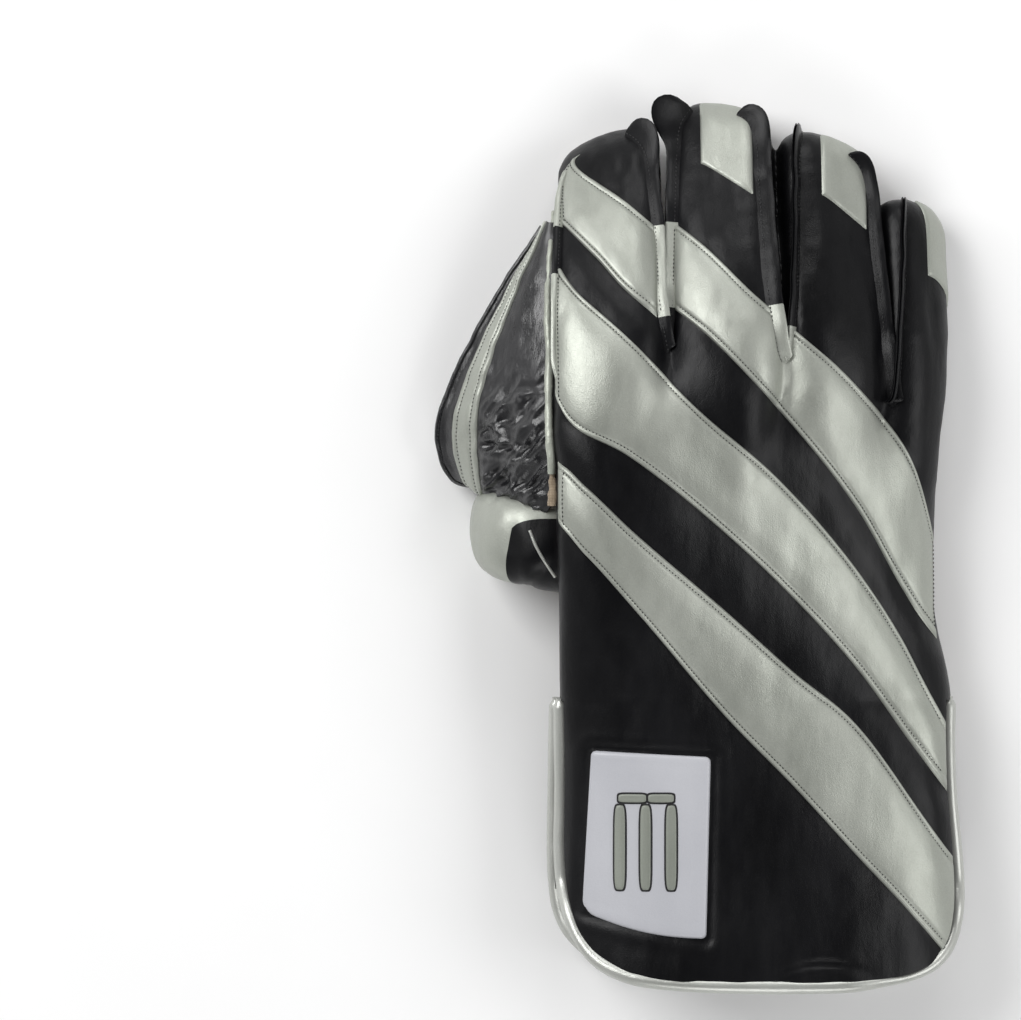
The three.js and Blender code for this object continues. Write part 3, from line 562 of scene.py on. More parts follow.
# finishes
class Nodes:
    """A material's nodes, made in short calls."""

    def __init__(self, name: str) -> None:
        """Starts a material with a shader, an output and places in millimetres.

        Args:
            name: the material's name.
        """
        self.material = bpy.data.materials.new(name)
        self.material.use_nodes = True
        self.tree = self.material.node_tree
        self.shader = self.tree.nodes["Principled BSDF"]
        self.place = self.add("ShaderNodeMapping", Scale=(1000.0, 1000.0, 1000.0))
        self.link(self.add("ShaderNodeTexCoord").outputs["Object"], self.place.inputs["Vector"])

    def add(self, kind: str, **inputs: object) -> bpy.types.Node:
        """Adds a node and sets its inputs by name.

        Args:
            kind: the node's type.
            inputs: values for its inputs.
        Returns:
            The node.
        """
        node = self.tree.nodes.new(kind)
        for name, value in inputs.items():
            node.inputs[name].default_value = value
        return node

    def link(self, output: Socket, socket: Socket) -> None:
        """Joins two sockets."""
        self.tree.links.new(output, socket)

    def noise(self, scale: float, detail: float = 3.0, stretch: Sequence[float] = (1, 1, 1)) -> Socket:
        """Noise whose swells are about 1 / scale millimetres, stretched along axes.

        Args:
            scale: swells in a millimetre.
            detail: how many finer layers it has.
            stretch: how much longer the swells are along each axis.
        Returns:
            The noise, from 0 to 1.
        """
        mapping = self.add("ShaderNodeMapping", Scale=tuple(scale / s for s in stretch))
        self.link(self.place.outputs["Vector"], mapping.inputs["Vector"])
        node = self.add("ShaderNodeTexNoise", Scale=1.0, Detail=detail)
        self.link(mapping.outputs["Vector"], node.inputs["Vector"])
        return node.outputs["Fac"]

    def cells(self, scale: float) -> Socket:
        """Distance in a field of cells, about 1 / scale millimetres wide.

        Args:
            scale: cells in a millimetre.
        Returns:
            Distance to the nearest edge of a cell.
        """
        node = self.add("ShaderNodeTexVoronoi", Scale=scale)
        node.feature = "DISTANCE_TO_EDGE"
        self.link(self.place.outputs["Vector"], node.inputs["Vector"])
        return node.outputs["Distance"]

    def sum(self, a: Socket, b: Socket | float, operation: str = "ADD") -> Socket:
        """A sum, or another operation, of two values.

        Args:
            a: the first value.
            b: the second value or a constant.
            operation: what is done with them.
        Returns:
            The outcome.
        """
        node = self.add("ShaderNodeMath")
        node.operation = operation
        self.link(a, node.inputs[0])
        if isinstance(b, (int, float)):
            node.inputs[1].default_value = float(b)
        else:
            self.link(b, node.inputs[1])
        return node.outputs[0]

    def mixed(self, a: Socket, share_a: float, b: Socket, share_b: float) -> Socket:
        """The sum of shares of two values."""
        return self.sum(self.sum(a, share_a, "MULTIPLY"), self.sum(b, share_b, "MULTIPLY"))

    def ramp(self, value: Socket, low: float, high: float, start: float, end: float) -> Socket:
        """Maps a value from one span to another and keeps it inside.

        Args:
            value: what is mapped.
            low: start of its span.
            high: end of its span.
            start: outcome at the span's start.
            end: outcome at its end.
        Returns:
            The mapped value.
        """
        spans = {"From Min": low, "From Max": high, "To Min": start, "To Max": end}
        node = self.add("ShaderNodeMapRange", **spans)
        self.link(value, node.inputs["Value"])
        return node.outputs["Result"]

    def colours(self, value: Socket, *stops: tuple[float, Sequence[float]]) -> Socket:
        """A colour ramp through stops.

        Args:
            value: where the ramp is read.
            stops: place and colour of each stop.
        Returns:
            The colour.
        """
        node = self.add("ShaderNodeValToRGB")
        elements = node.color_ramp.elements
        for i, (place, colour) in enumerate(stops):
            element = elements[i] if i < 2 else elements.new(place)
            element.position = place
            element.color = (*colour, 1.0)
        self.link(value, node.inputs["Fac"])
        return node.outputs["Color"]

    def bump(self, height: Socket, millimetres: float, onto: Socket | None = None) -> Socket:
        """A bumped normal whose relief is some millimetres deep.

        Args:
            height: the relief, from 0 to 1.
            millimetres: its depth.
            onto: a normal that it is added to.
        Returns:
            The bumped normal.
        """
        node = self.add("ShaderNodeBump", Strength=1.0, Distance=millimetres * MM)
        self.link(height, node.inputs["Height"])
        if onto is not None:
            self.link(onto, node.inputs["Normal"])
        return node.outputs["Normal"]

    def finish(self, colour: Socket, roughness: Socket, normal: Socket, **constants: object) -> Material:
        """Joins the shader's inputs and sets its constants.

        Args:
            colour: the base colour.
            roughness: the roughness.
            normal: the normal.
            constants: other inputs, with low lines for spaces.
        Returns:
            The material.
        """
        self.link(colour, self.shader.inputs["Base Color"])
        self.link(roughness, self.shader.inputs["Roughness"])
        self.link(normal, self.shader.inputs["Normal"])
        for name, value in constants.items():
            self.shader.inputs[name.replace("_", " ")].default_value = value
        return self.material


@dataclass(frozen=True)
class Leather:
    """Smooth glove leather with a fine grain, creases and a soft sheen."""

    name: str
    colour: tuple[float, float, float]
    faded: tuple[float, float, float]
    roughness: tuple[float, float]
    metallic: float = 0.0
    specular: float = 0.5
    coat: float = 0.0
    grain: float = 0.05
    crease: float = 0.16

    def material(self) -> Material:
        """The finish as a node material.

        Returns:
            The material.
        """
        nodes = Nodes(self.name)
        broad = nodes.noise(0.035, 3.0, (1.0, 2.2, 1.0))
        fine = nodes.noise(1.6, 4.0)
        grain = nodes.cells(1.5)
        crease = nodes.noise(0.22, 5.0, (1.0, 2.6, 1.0))
        colour = nodes.colours(nodes.mixed(broad, 0.7, fine, 0.3), (0.3, self.colour), (0.72, self.faded))
        rough = nodes.ramp(nodes.mixed(broad, 0.5, crease, 0.5), 0.35, 0.65, *self.roughness)
        relief = nodes.bump(crease, self.crease)
        relief = nodes.bump(grain, self.grain, relief)
        relief = nodes.bump(fine, self.grain * 0.8, relief)
        return nodes.finish(colour, rough, relief, Metallic=self.metallic, Specular_IOR_Level=self.specular,
                            Coat_Weight=self.coat, Coat_Roughness=0.32)


@dataclass(frozen=True)
class PimpledRubber:
    """Grey rubber with rows of small rings, each with a dark middle."""

    name: str
    colour: tuple[float, float, float]
    dark: tuple[float, float, float]
    pitch: float = 3.0

    def material(self) -> Material:
        """The finish as a node material.

        Returns:
            The material.
        """
        nodes = Nodes(self.name)
        sheet = nodes.add("ShaderNodeAttribute")
        sheet.attribute_name = "flat"
        split = nodes.add("ShaderNodeSeparateXYZ")
        nodes.link(sheet.outputs["Vector"], split.inputs[0])
        x, y = split.outputs["X"], split.outputs["Y"]
        step = 1 / self.pitch
        cell = []
        for a, b in ((x, y), (x, nodes.sum(y, -1.0, "MULTIPLY"))):
            turned = nodes.sum(nodes.sum(nodes.sum(a, b), step, "MULTIPLY"), 1000.0)
            part = nodes.sum(nodes.sum(turned, 1.0, "MODULO"), -0.5)
            cell.append(nodes.sum(part, part, "MULTIPLY"))
        distance = nodes.sum(nodes.sum(cell[0], cell[1]), 0.5, "POWER")
        ring = nodes.ramp(nodes.sum(nodes.sum(distance, -0.27), 0.0, "ABSOLUTE"), 0.04, 0.16, 1.0, 0.0)
        grime = nodes.noise(0.06, 4.0)
        fine = nodes.noise(2.5, 3.0)
        tone = nodes.mixed(ring, 0.55, grime, 0.45)
        colour = nodes.colours(tone, (0.12, self.dark), (0.72, self.colour))
        rough = nodes.ramp(fine, 0.3, 0.7, 0.55, 0.78)
        relief = nodes.bump(ring, 0.45)
        relief = nodes.bump(fine, 0.06, relief)
        return nodes.finish(colour, rough, relief, Specular_IOR_Level=0.35)


@dataclass(frozen=True)
class Cloth:
    """Woven or brushed cloth."""

    name: str
    colour: tuple[float, float, float]
    dark: tuple[float, float, float]
    thread: float = 0.8

    def material(self) -> Material:
        """The finish as a node material.

        Returns:
            The material.
        """
        nodes = Nodes(self.name)
        waves = []
        for axis in ("X", "Y"):
            wave = nodes.add("ShaderNodeTexWave", Scale=1 / self.thread / math.tau * 2, Distortion=1.2)
            wave.bands_direction = axis
            nodes.link(nodes.place.outputs["Vector"], wave.inputs["Vector"])
            waves.append(wave.outputs["Fac"])
        weave = nodes.sum(waves[0], waves[1], "MULTIPLY")
        fuzz = nodes.noise(1.8, 4.0)
        tone = nodes.mixed(weave, 0.5, fuzz, 0.5)
        colour = nodes.colours(tone, (0.2, self.dark), (0.7, self.colour))
        relief = nodes.bump(tone, 0.25)
        return nodes.finish(colour, nodes.ramp(fuzz, 0.3, 0.7, 0.8, 0.98), relief, Sheen_Weight=0.2)


class Finishes:
    """All the finishes of the glove."""

    def __init__(self) -> None:
        """Makes each material once."""
        self.black = Leather("black_leather", (0.0018, 0.0018, 0.0022), (0.0048, 0.0049, 0.006), (0.3, 0.43),
                             specular=0.21, crease=0.22).material()
        self.web = Leather("web_black_leather", (0.003, 0.003, 0.0038), (0.009, 0.009, 0.011), (0.2, 0.36),
                           specular=0.6, coat=0.25, grain=0.06, crease=0.6).material()
        self.silver = Leather("silver_leather", (0.31, 0.325, 0.288), (0.43, 0.445, 0.402), (0.38, 0.5),
                              metallic=0.6, specular=0.45, grain=0.065).material()
        self.piping = Leather("silver_binding", (0.4, 0.41, 0.38), (0.54, 0.55, 0.52), (0.3, 0.4),
                              metallic=0.55, coat=0.05, crease=0.08).material()
        self.badge = Leather("badge_leather", (0.4, 0.405, 0.435), (0.47, 0.475, 0.505), (0.34, 0.46),
                             coat=0.1, grain=0.03, crease=0.05).material()
        self.emblem = Leather("emblem_leather", (0.2, 0.215, 0.185), (0.27, 0.285, 0.25), (0.4, 0.5),
                              metallic=0.2, grain=0.03, crease=0.05).material()
        self.seam = Leather("pale_seam_binding", (0.3, 0.32, 0.27), (0.46, 0.48, 0.42), (0.3, 0.45),
                            metallic=0.3, grain=0.06, crease=0.2).material()
        self.rubber = PimpledRubber("grey_rubber", (0.35, 0.31, 0.275), (0.09, 0.08, 0.07)).material()
        self.cloth = Cloth("grey_cloth", (0.2, 0.205, 0.18), (0.1, 0.1, 0.09)).material()
        self.lining = Cloth("lining_cloth", (0.17, 0.165, 0.15), (0.07, 0.068, 0.06), 1.1).material()
        self.raw = Cloth("raw_lining", (0.42, 0.34, 0.24), (0.2, 0.15, 0.1), 0.6).material()
        self.thread = Cloth("black_thread", (0.012, 0.012, 0.014), (0.004, 0.004, 0.005), 0.25).material()
        self.grey_thread = Cloth("grey_thread", (0.24, 0.25, 0.23), (0.1, 0.1, 0.095), 0.25).material()


# forms
@dataclass(frozen=True)
class HandForm:
    """The tube of the cuff and hand, up to the finger crotches."""

    start: float = -9.0
    shoulder: float = 30.0  # length over which its end rounds off between the fingers
    rings: int = 170
    around: int = 132

    def row(self, y: Array) -> tuple[Array, ...]:
        """Centre, reach, left rise, right rise, crown and depth at y, in millimetres.

        Args:
            y: places along the hand.
        Returns:
            The six measures at each place.
        """
        v = smooth_rows(HAND_ROWS, np.asarray(y, float) / LENGTH)
        left, right = v[..., 0] * HALF_WIDTH, v[..., 1] * HALF_WIDTH
        rest = [v[..., k] * HEIGHT for k in range(2, 6)]
        return ((left + right) / 2, (right - left) / 2, *rest)

    def seam(self, x: Array, y: Array) -> Array:
        """Height of the side seams' surface at places in plan.

        Args:
            x: places across.
            y: places along.
        Returns:
            The height at each place.
        """
        centre, reach, left, right, _, _ = self.row(y)
        share = np.clip((x - centre) / reach, -1.1, 1.1) * 0.5 + 0.5
        return left + (right - left) * share

    def flare(self, y: Array) -> Array:
        """How far the palm panel of the cuff stands out on the thumb side."""
        return 3.4 * smoothstep(y, 112, 60) * smoothstep(y, 8, 30)

    def tube(self) -> Triangles:
        """The closed outside of the hand.

        Returns:
            Points and faces.
        """
        share = np.linspace(0, 1, self.rings)[:, None]
        ex, ez = squarish(turns(self.around)[None, :], SQUARENESS)
        x = np.zeros((self.rings, self.around))
        for _ in range(5):
            end = smooth_rows(CROTCH_ROWS, x)[..., 0]
            y = self.start + share * (end - self.start)
            centre, reach, left, right, crown, depth = self.row(y)
            x = centre + reach * ex
        into = np.clip(1 - (end - y) / self.shoulder, 0, 1)
        shut = np.sqrt(np.maximum(1 - into**2.2, 0))
        seam = left + (right - left) * (ex + 1) / 2
        z = seam + np.where(ez > 0, crown, depth) * ez * shut
        x = x - self.flare(y) * np.clip(-ex, 0, 1) ** 2 * smoothstep(seam - z, -3.0, 6.0)
        rings = np.stack([x, y, z], axis=-1)
        lay_on_floor(rings)
        return closed_tube(rings)


@dataclass(frozen=True)
class FingerForm:
    """One finger stall."""

    name: str
    base_x: float
    tip_x: float
    tip_y: float
    base_z: float
    tip_z: float
    half_width: float
    half_thick: float
    roll: float
    start: float = 192.0
    rounding: float = 13.0
    squareness: float = 2.7
    droop: float = 1.7
    slant: float = 0.0  # how much further its end reaches on the side away from the thumb
    root: float = 0.62  # share of its section left at its start, inside the hand
    rings: int = 84
    around: int = 64

    def station(self, y: Array) -> tuple[Array, ...]:
        """Centre, half width and half thickness at y.

        Args:
            y: places along the glove.
        Returns:
            The three measures at each place.
        """
        s = (np.asarray(y, float) - FINGER_START) / (self.tip_y - FINGER_START)
        late = smoothstep(s, 0.3, 1.0)
        drop = np.where(s > 0, np.maximum(s, 0) ** self.droop, 0.25 * s)
        centre = np.stack([
            self.base_x + (self.tip_x - self.base_x) * s,
            np.asarray(y, float),
            self.base_z + (self.tip_z - self.base_z) * drop,
        ], axis=-1)
        rooted = self.root + (1 - self.root) * smoothstep(centre[..., 1], self.start, self.start + 46)
        wide = self.half_width * (1 - 0.1 * late) * (0.35 + 0.65 * rooted)
        return centre, wide, self.half_thick * (1 - 0.22 * late) * rooted

    @property
    def side(self) -> Array:
        """Unit vector across the finger."""
        a = math.radians(self.roll)
        return np.array([math.cos(a), 0.0, -math.sin(a)])

    @property
    def up(self) -> Array:
        """Unit vector out of the finger's back."""
        a = math.radians(self.roll)
        return np.array([math.sin(a), 0.0, math.cos(a)])

    def on_skin(self, turn: Array, y: Array) -> Array:
        """Points of the stall's skin at turns round it and places along it.

        Args:
            turn: turns round the stall, 0 at its side away from the thumb.
            y: places along the glove.
        Returns:
            A point for each turn and place.
        """
        centre, wide, thick = self.station(y)
        shut = rounded_off(np.clip(1 - (self.tip_y - y) / self.rounding, 0, 1))
        across, over = squarish(turn, self.squareness)
        a, b = across * wide * shut, over * thick * shut
        points = centre + a[..., None] * self.side + b[..., None] * self.up
        points[..., 1] += self.slant * a / self.half_width * smoothstep(y, self.tip_y - 45, self.tip_y)
        return points

    def tube(self) -> Triangles:
        """The closed outside of the stall.

        Returns:
            Points and faces.
        """
        late = 1 - (1 - np.linspace(0, 1, self.rings)) ** 1.8
        y = (self.start + (self.tip_y - self.start) * late)[:, None]
        y, turn = np.broadcast_arrays(y, turns(self.around)[None, :])
        rings = self.on_skin(turn, y)
        lay_on_floor(rings)
        return closed_tube(rings)

    def height(self, points: Array) -> Array:
        """Height of points over the seam plane of the stall."""
        centre, _, _ = self.station(points[:, 1])
        return (points - centre) @ self.up

    def unrolled(self, points: Array) -> Array:
        """Distance of points round the stall's underside from its middle, along x.

        Args:
            points: places on the stall.
        Returns:
            Where each is across the flat sheet.
        """
        centre, _, thick = self.station(points[:, 1])
        across = (points - centre) @ self.side
        height = np.maximum((points - centre) @ self.up + thick, 0)
        return self.base_x + across + np.tanh(across / 6) * height * 0.9

    def aside(self, points: Array) -> Array:
        """Distance of points across the stall in half widths."""
        centre, wide, _ = self.station(points[:, 1])
        return (points - centre) @ self.side / wide


FINGERS = (
    FingerForm("index", -57.0, -56.2, 328.0, 53.5, 8.5, 21.4, 15.4, -5.0, slant=5.5),
    FingerForm("middle", -13.2, -12.8, 339.0, 49.5, 9.0, 20.6, 15.4, -8.0, slant=-2.5),
    FingerForm("ring", 26.6, 27.2, 326.5, 38.5, 10.5, 21.4, 14.6, 26.0, slant=-6.0),
    FingerForm("little", 58.4, 58.6, 301.5, 24.0, 12.0, 15.6, 13.0, 46.0, slant=-4.0),
)


@dataclass
class Skin:
    """The outside of the cuff, hand and fingers as one surface, before it is cut into panels."""

    voxel: float = 1.28
    softened: int = 64  # rounds that even out the leather between the fingers
    hand: HandForm = field(default_factory=HandForm)

    def __post_init__(self) -> None:
        """Builds and creases the skin, and makes it ready to be measured."""
        self.bands = [Band.outline_of(rows) for rows in BAND_ROWS.values()]
        surface = self.joined()
        y = surface.points[:, 1]
        near = smoothstep(y, 172, 194) * (1 - smoothstep(y, 237, 252))
        surface = surface.smoothed(3).smoothed(self.softened, near)
        for _ in range(2):
            surface = self.creased(surface)
        self.surface = surface
        self.tree = BVHTree.FromPolygons(self.surface.points.tolist(), self.surface.faces.tolist())
        self.sides = [self.side_line(which) for which in (0, 1)]
        log.info("skin: %d triangles", len(self.surface.faces))

    def side_line(self, which: int) -> Array:
        """Rows of y, x and z along the skin's outermost line, on the thumb side for 0.

        Args:
            which: 0 for the thumb side and 1 for the other.
        Returns:
            A row for every two millimetres.
        """
        points = self.surface.points
        place = (points[:, 1] / 2).astype(int)
        out = points[:, 0] * (-1, 1)[which]
        rows = []
        for y in range(0, int(place.max())):
            near = np.flatnonzero(place == y)
            best = near[np.argmax(out[near])]
            rows.append((2 * y + 1.0, points[best, 0], points[best, 2]))
        rows = np.array(rows)
        inner = rows[:, 1] * (-1, 1)[which]
        padded = np.pad(inner, 2, mode="edge")
        inner = np.min([padded[k:k + len(inner)] for k in range(5)], axis=0)
        rows[:, 1] = inner * (-1, 1)[which]
        soften(rows[:, 1:], 3)
        return rows

    def side_at(self, y: Array, which: int, column: int = 1) -> Array:
        """The skin's outermost x, or z for column 2, at y, on the thumb side for 0."""
        return np.interp(y, self.sides[which][:, 0], self.sides[which][:, column])

    def joined(self) -> Surface:
        """The hand and the fingers joined into one even surface.

        Returns:
            The surface, with triangles of about the voxel's size.
        """
        points, faces = joined_parts([self.hand.tube(), *[finger.tube() for finger in FINGERS]])
        mesh = bpy.data.meshes.new("skin")
        mesh.from_pydata(points.tolist(), [], faces.tolist())
        obj = shown("skin", mesh)
        remesh = obj.modifiers.new("even", "REMESH")
        remesh.mode = "VOXEL"
        remesh.voxel_size = self.voxel
        made = obj.evaluated_get(bpy.context.evaluated_depsgraph_get()).to_mesh()
        made.calc_loop_triangles()
        p = np.zeros(len(made.vertices) * 3)
        made.vertices.foreach_get("co", p)
        f = np.zeros(len(made.loop_triangles) * 3, np.int32)
        made.loop_triangles.foreach_get("vertices", f)
        bpy.data.objects.remove(obj)
        bpy.data.meshes.remove(mesh)
        return Surface(p.reshape(-1, 3), f.reshape(-1, 3).astype(np.int64))

    def creased(self, surface: Surface) -> Surface:
        """The surface with half of its folds, swells and pressed seams.

        Args:
            surface: the even surface.
        Returns:
            The surface with its points moved.
        """
        p, n = surface.points, surface.normals
        x, y = p[:, 0], p[:, 1]
        up = smoothstep(n[:, 2], -0.1, 0.5)
        lift = 0.42 * noise(p, (20, 34, 20), 3) + 0.2 * noise(p, (9, 16, 9), 5)
        on_finger = smoothstep(y, 235, 262)
        lift += on_finger * 0.3 * noise(p, (4.2, 26, 6), 7)
        lift += on_finger * up * 0.09 * noise(p, (12, 3.6, 12), 11)
        lift += (1 - on_finger) * up * 0.22 * noise(p, (7, 40, 12), 13)
        within = np.array([outline_distance(p, band) for band in self.bands])
        edges = np.abs(within).min(axis=0)
        covered = within.max(axis=0) > 0
        lift += up * (0.42 * smoothstep(edges, 0.0, 9.0) - 0.22 * bell(edges, 0, 1.8) - 0.05 * covered)
        badge = outline_distance(p, BADGE_CORNERS)
        lift += up * (0.22 * bell(badge, -5.0, 2.0) - 0.55 * bell(badge, -1.0, 1.3)) * (y < 120)
        lift -= up * 0.2 * bell(y, WRIST_SEAM, 2.6)
        dent = y - 12.6 + 0.012 * (x - 24) ** 2
        lift -= up * (1.1 * bell(dent, 0, 1.5) - 0.4 * bell(dent, -3, 1.4)) * bell(x, 24, 12)
        crotch = smoothstep(y, 217, 225) * (1 - smoothstep(y, 237, 243))
        lift += up * 0.9 * crotch * bell(x, 9.6, 2.4)
        lift *= 1 - 0.7 * smoothstep(-p[:, 2], -3.5, -0.5)
        moved = p + n * lift[:, None] * 0.5
        lay_on_floor(moved)
        return Surface(moved, surface.faces)

    @staticmethod
    def on_nearest_finger(measure: Callable[[FingerForm, Array], Array],
                          points: Array) -> Array:
        """A measure of points, taken on the finger that each is nearest to."""
        nearest = np.argmin([np.abs(finger.aside(points)) for finger in FINGERS], axis=0)
        return np.array([measure(finger, points) for finger in FINGERS])[nearest, np.arange(len(points))]

    def seam_height(self, points: Array) -> Array:
        """How far points are above the seams between the back and the palm side.

        Args:
            points: places on the skin.
        Returns:
            The height of each in millimetres.
        """
        hand = points[:, 2] - self.hand.seam(points[:, 0], points[:, 1])
        finger = self.on_nearest_finger(FingerForm.height, points)
        share = smoothstep(points[:, 1], 205, 238)
        return hand * (1 - share) + finger * share

    def unrolled(self, points: Array) -> Array:
        """Places on the palm side laid flat, so that a pattern isn't stretched down its sides.

        Args:
            points: places on the palm side.
        Returns:
            Two numbers for each, across and along.
        """
        centre, _, _, _, _, depth = self.hand.row(points[:, 1])
        height = points[:, 2] - self.hand.seam(points[:, 0], points[:, 1]) + depth
        flat = points[:, 0] + np.tanh((points[:, 0] - centre) / 12) * np.maximum(height, 0) * 0.9
        over = self.on_nearest_finger(FingerForm.unrolled, points)
        share = smoothstep(points[:, 1], 228, 232)
        return np.column_stack([flat * (1 - share) + over * share, points[:, 1]])

    def drop(self, x: float, y: float) -> tuple[Array, Array]:
        """The skin under a place in plan and its normal, or the nearest skin to its seam height.

        Args:
            x: place across.
            y: place along.
        Returns:
            The point of the skin and its normal.
        """
        hit, _, index, _ = self.tree.ray_cast(Vector((x, y, RAY_HEIGHT)), Vector((0, 0, -1)))
        if hit is None:
            z = float(self.hand.seam(np.array([x]), np.array([y]))[0])
            hit, _, index, _ = self.tree.find_nearest(Vector((x, y, z)))
        return np.array(hit), self.normal_at(np.array(hit), index)

    def normal_at(self, place: Array, face: int) -> Array:
        """The smooth normal inside a triangle of the skin.

        Args:
            place: a point in the triangle.
            face: the triangle's number.
        Returns:
            The unit normal.
        """
        corners = self.surface.faces[face]
        away = self.surface.points[corners] - place
        weights = [np.linalg.norm(np.cross(away[k - 2], away[k - 1])) + 1e-9 for k in range(3)]
        return unit(np.array(weights) @ self.surface.normals[corners])

    def nearest(self, place: Array) -> tuple[Array, Array]:
        """The nearest point of the skin and its normal."""
        hit, _, index, _ = self.tree.find_nearest(Vector(place))
        return np.array(hit), self.normal_at(np.array(hit), index)


# sewn details
@dataclass
class Stitching:
    """Stitches along paths, joined into one piece."""

    length: float = 0.85
    width: float = 0.3
    points: list[Array] = field(default_factory=list)
    faces: list[Array] = field(default_factory=list)
    count: int = 0

    OCTAHEDRON = np.array([
        (0, 2, 4), (2, 1, 4), (1, 3, 4), (3, 0, 4), (2, 0, 5), (1, 2, 5), (3, 1, 5), (0, 3, 5),
    ])

    def run(self, path: Array, normals: Array, pitch: float, length: float | None = None,
            width: float | None = None) -> None:
        """Sews a row of stitches.

        Args:
            path: points along the row.
            normals: normals of the leather there.
            pitch: distance between stitches.
            length: length of a stitch, the usual one if left out.
            width: half its width.
        """
        long, thick = length or self.length, width or self.width
        run = run_of(path)
        if run[-1] < 2 * pitch:
            return
        at = np.arange(pitch / 2, run[-1] - pitch / 2, pitch)
        middle = read_along(at, run, path)
        ahead = unit(read_along(at + 0.3, run, path) - middle + 1e-9)
        up = unit(read_along(at, run, normals))
        side = unit(np.cross(up, ahead))
        corners = np.stack([
            middle - ahead * long / 2, middle + ahead * long / 2,
            middle - side * thick, middle + side * thick,
            middle + up * thick * 1.1, middle - up * thick,
        ], axis=1)
        offsets = self.count + 6 * np.arange(len(at))[:, None, None]
        self.points.append(corners.reshape(-1, 3))
        self.faces.append((self.OCTAHEDRON[None] + offsets).reshape(-1, 3))
        self.count += 6 * len(at)

    def make(self, frame: Frame, name: str, finish: Material, slot: str) -> None:
        """Makes one piece of the stitches."""
        frame.make(name, np.vstack(self.points), np.vstack(self.faces), [finish], slot)


@dataclass
class Workshop:
    """What a sub-assembly is placed in, laid on, finished with and sewn with."""

    frame: Frame
    skin: Skin
    finishes: Finishes
    black: Stitching
    grey: Stitching

    def walled(self, name: str, surface: Surface, wall: float, flat: Array, finish: Material, slot: str,
               replaces: Sequence[str]) -> bpy.types.Object:
        """Makes a surface with a lined wall behind it.

        Args:
            name: the piece's name.
            surface: its outside.
            wall: its thickness.
            flat: where each point is on the flat sheet that it is cut from.
            finish: the outside's material.
            slot: passed on to Frame.make, which does not use it.
            replaces: CAD nodes it stands for.
        Returns:
            The piece.
        """
        points, faces, places = surface.thickened(wall)
        lay_on_floor(points)
        return self.frame.make(name, points, faces, [finish, self.finishes.lining], slot, replaces, places,
                               np.vstack([flat] * 2))


EDGE_STEPS = np.array([0.0, 0.22, 0.5, 0.9, 1.35, 1.7, 2.0, 2.3, 2.75, 3.6])
EDGE_HEIGHTS = np.array([0.1, 0.62, 0.98, 1.15, 1.08, 0.8, 0.62, 0.84, 1.1, 1.2])


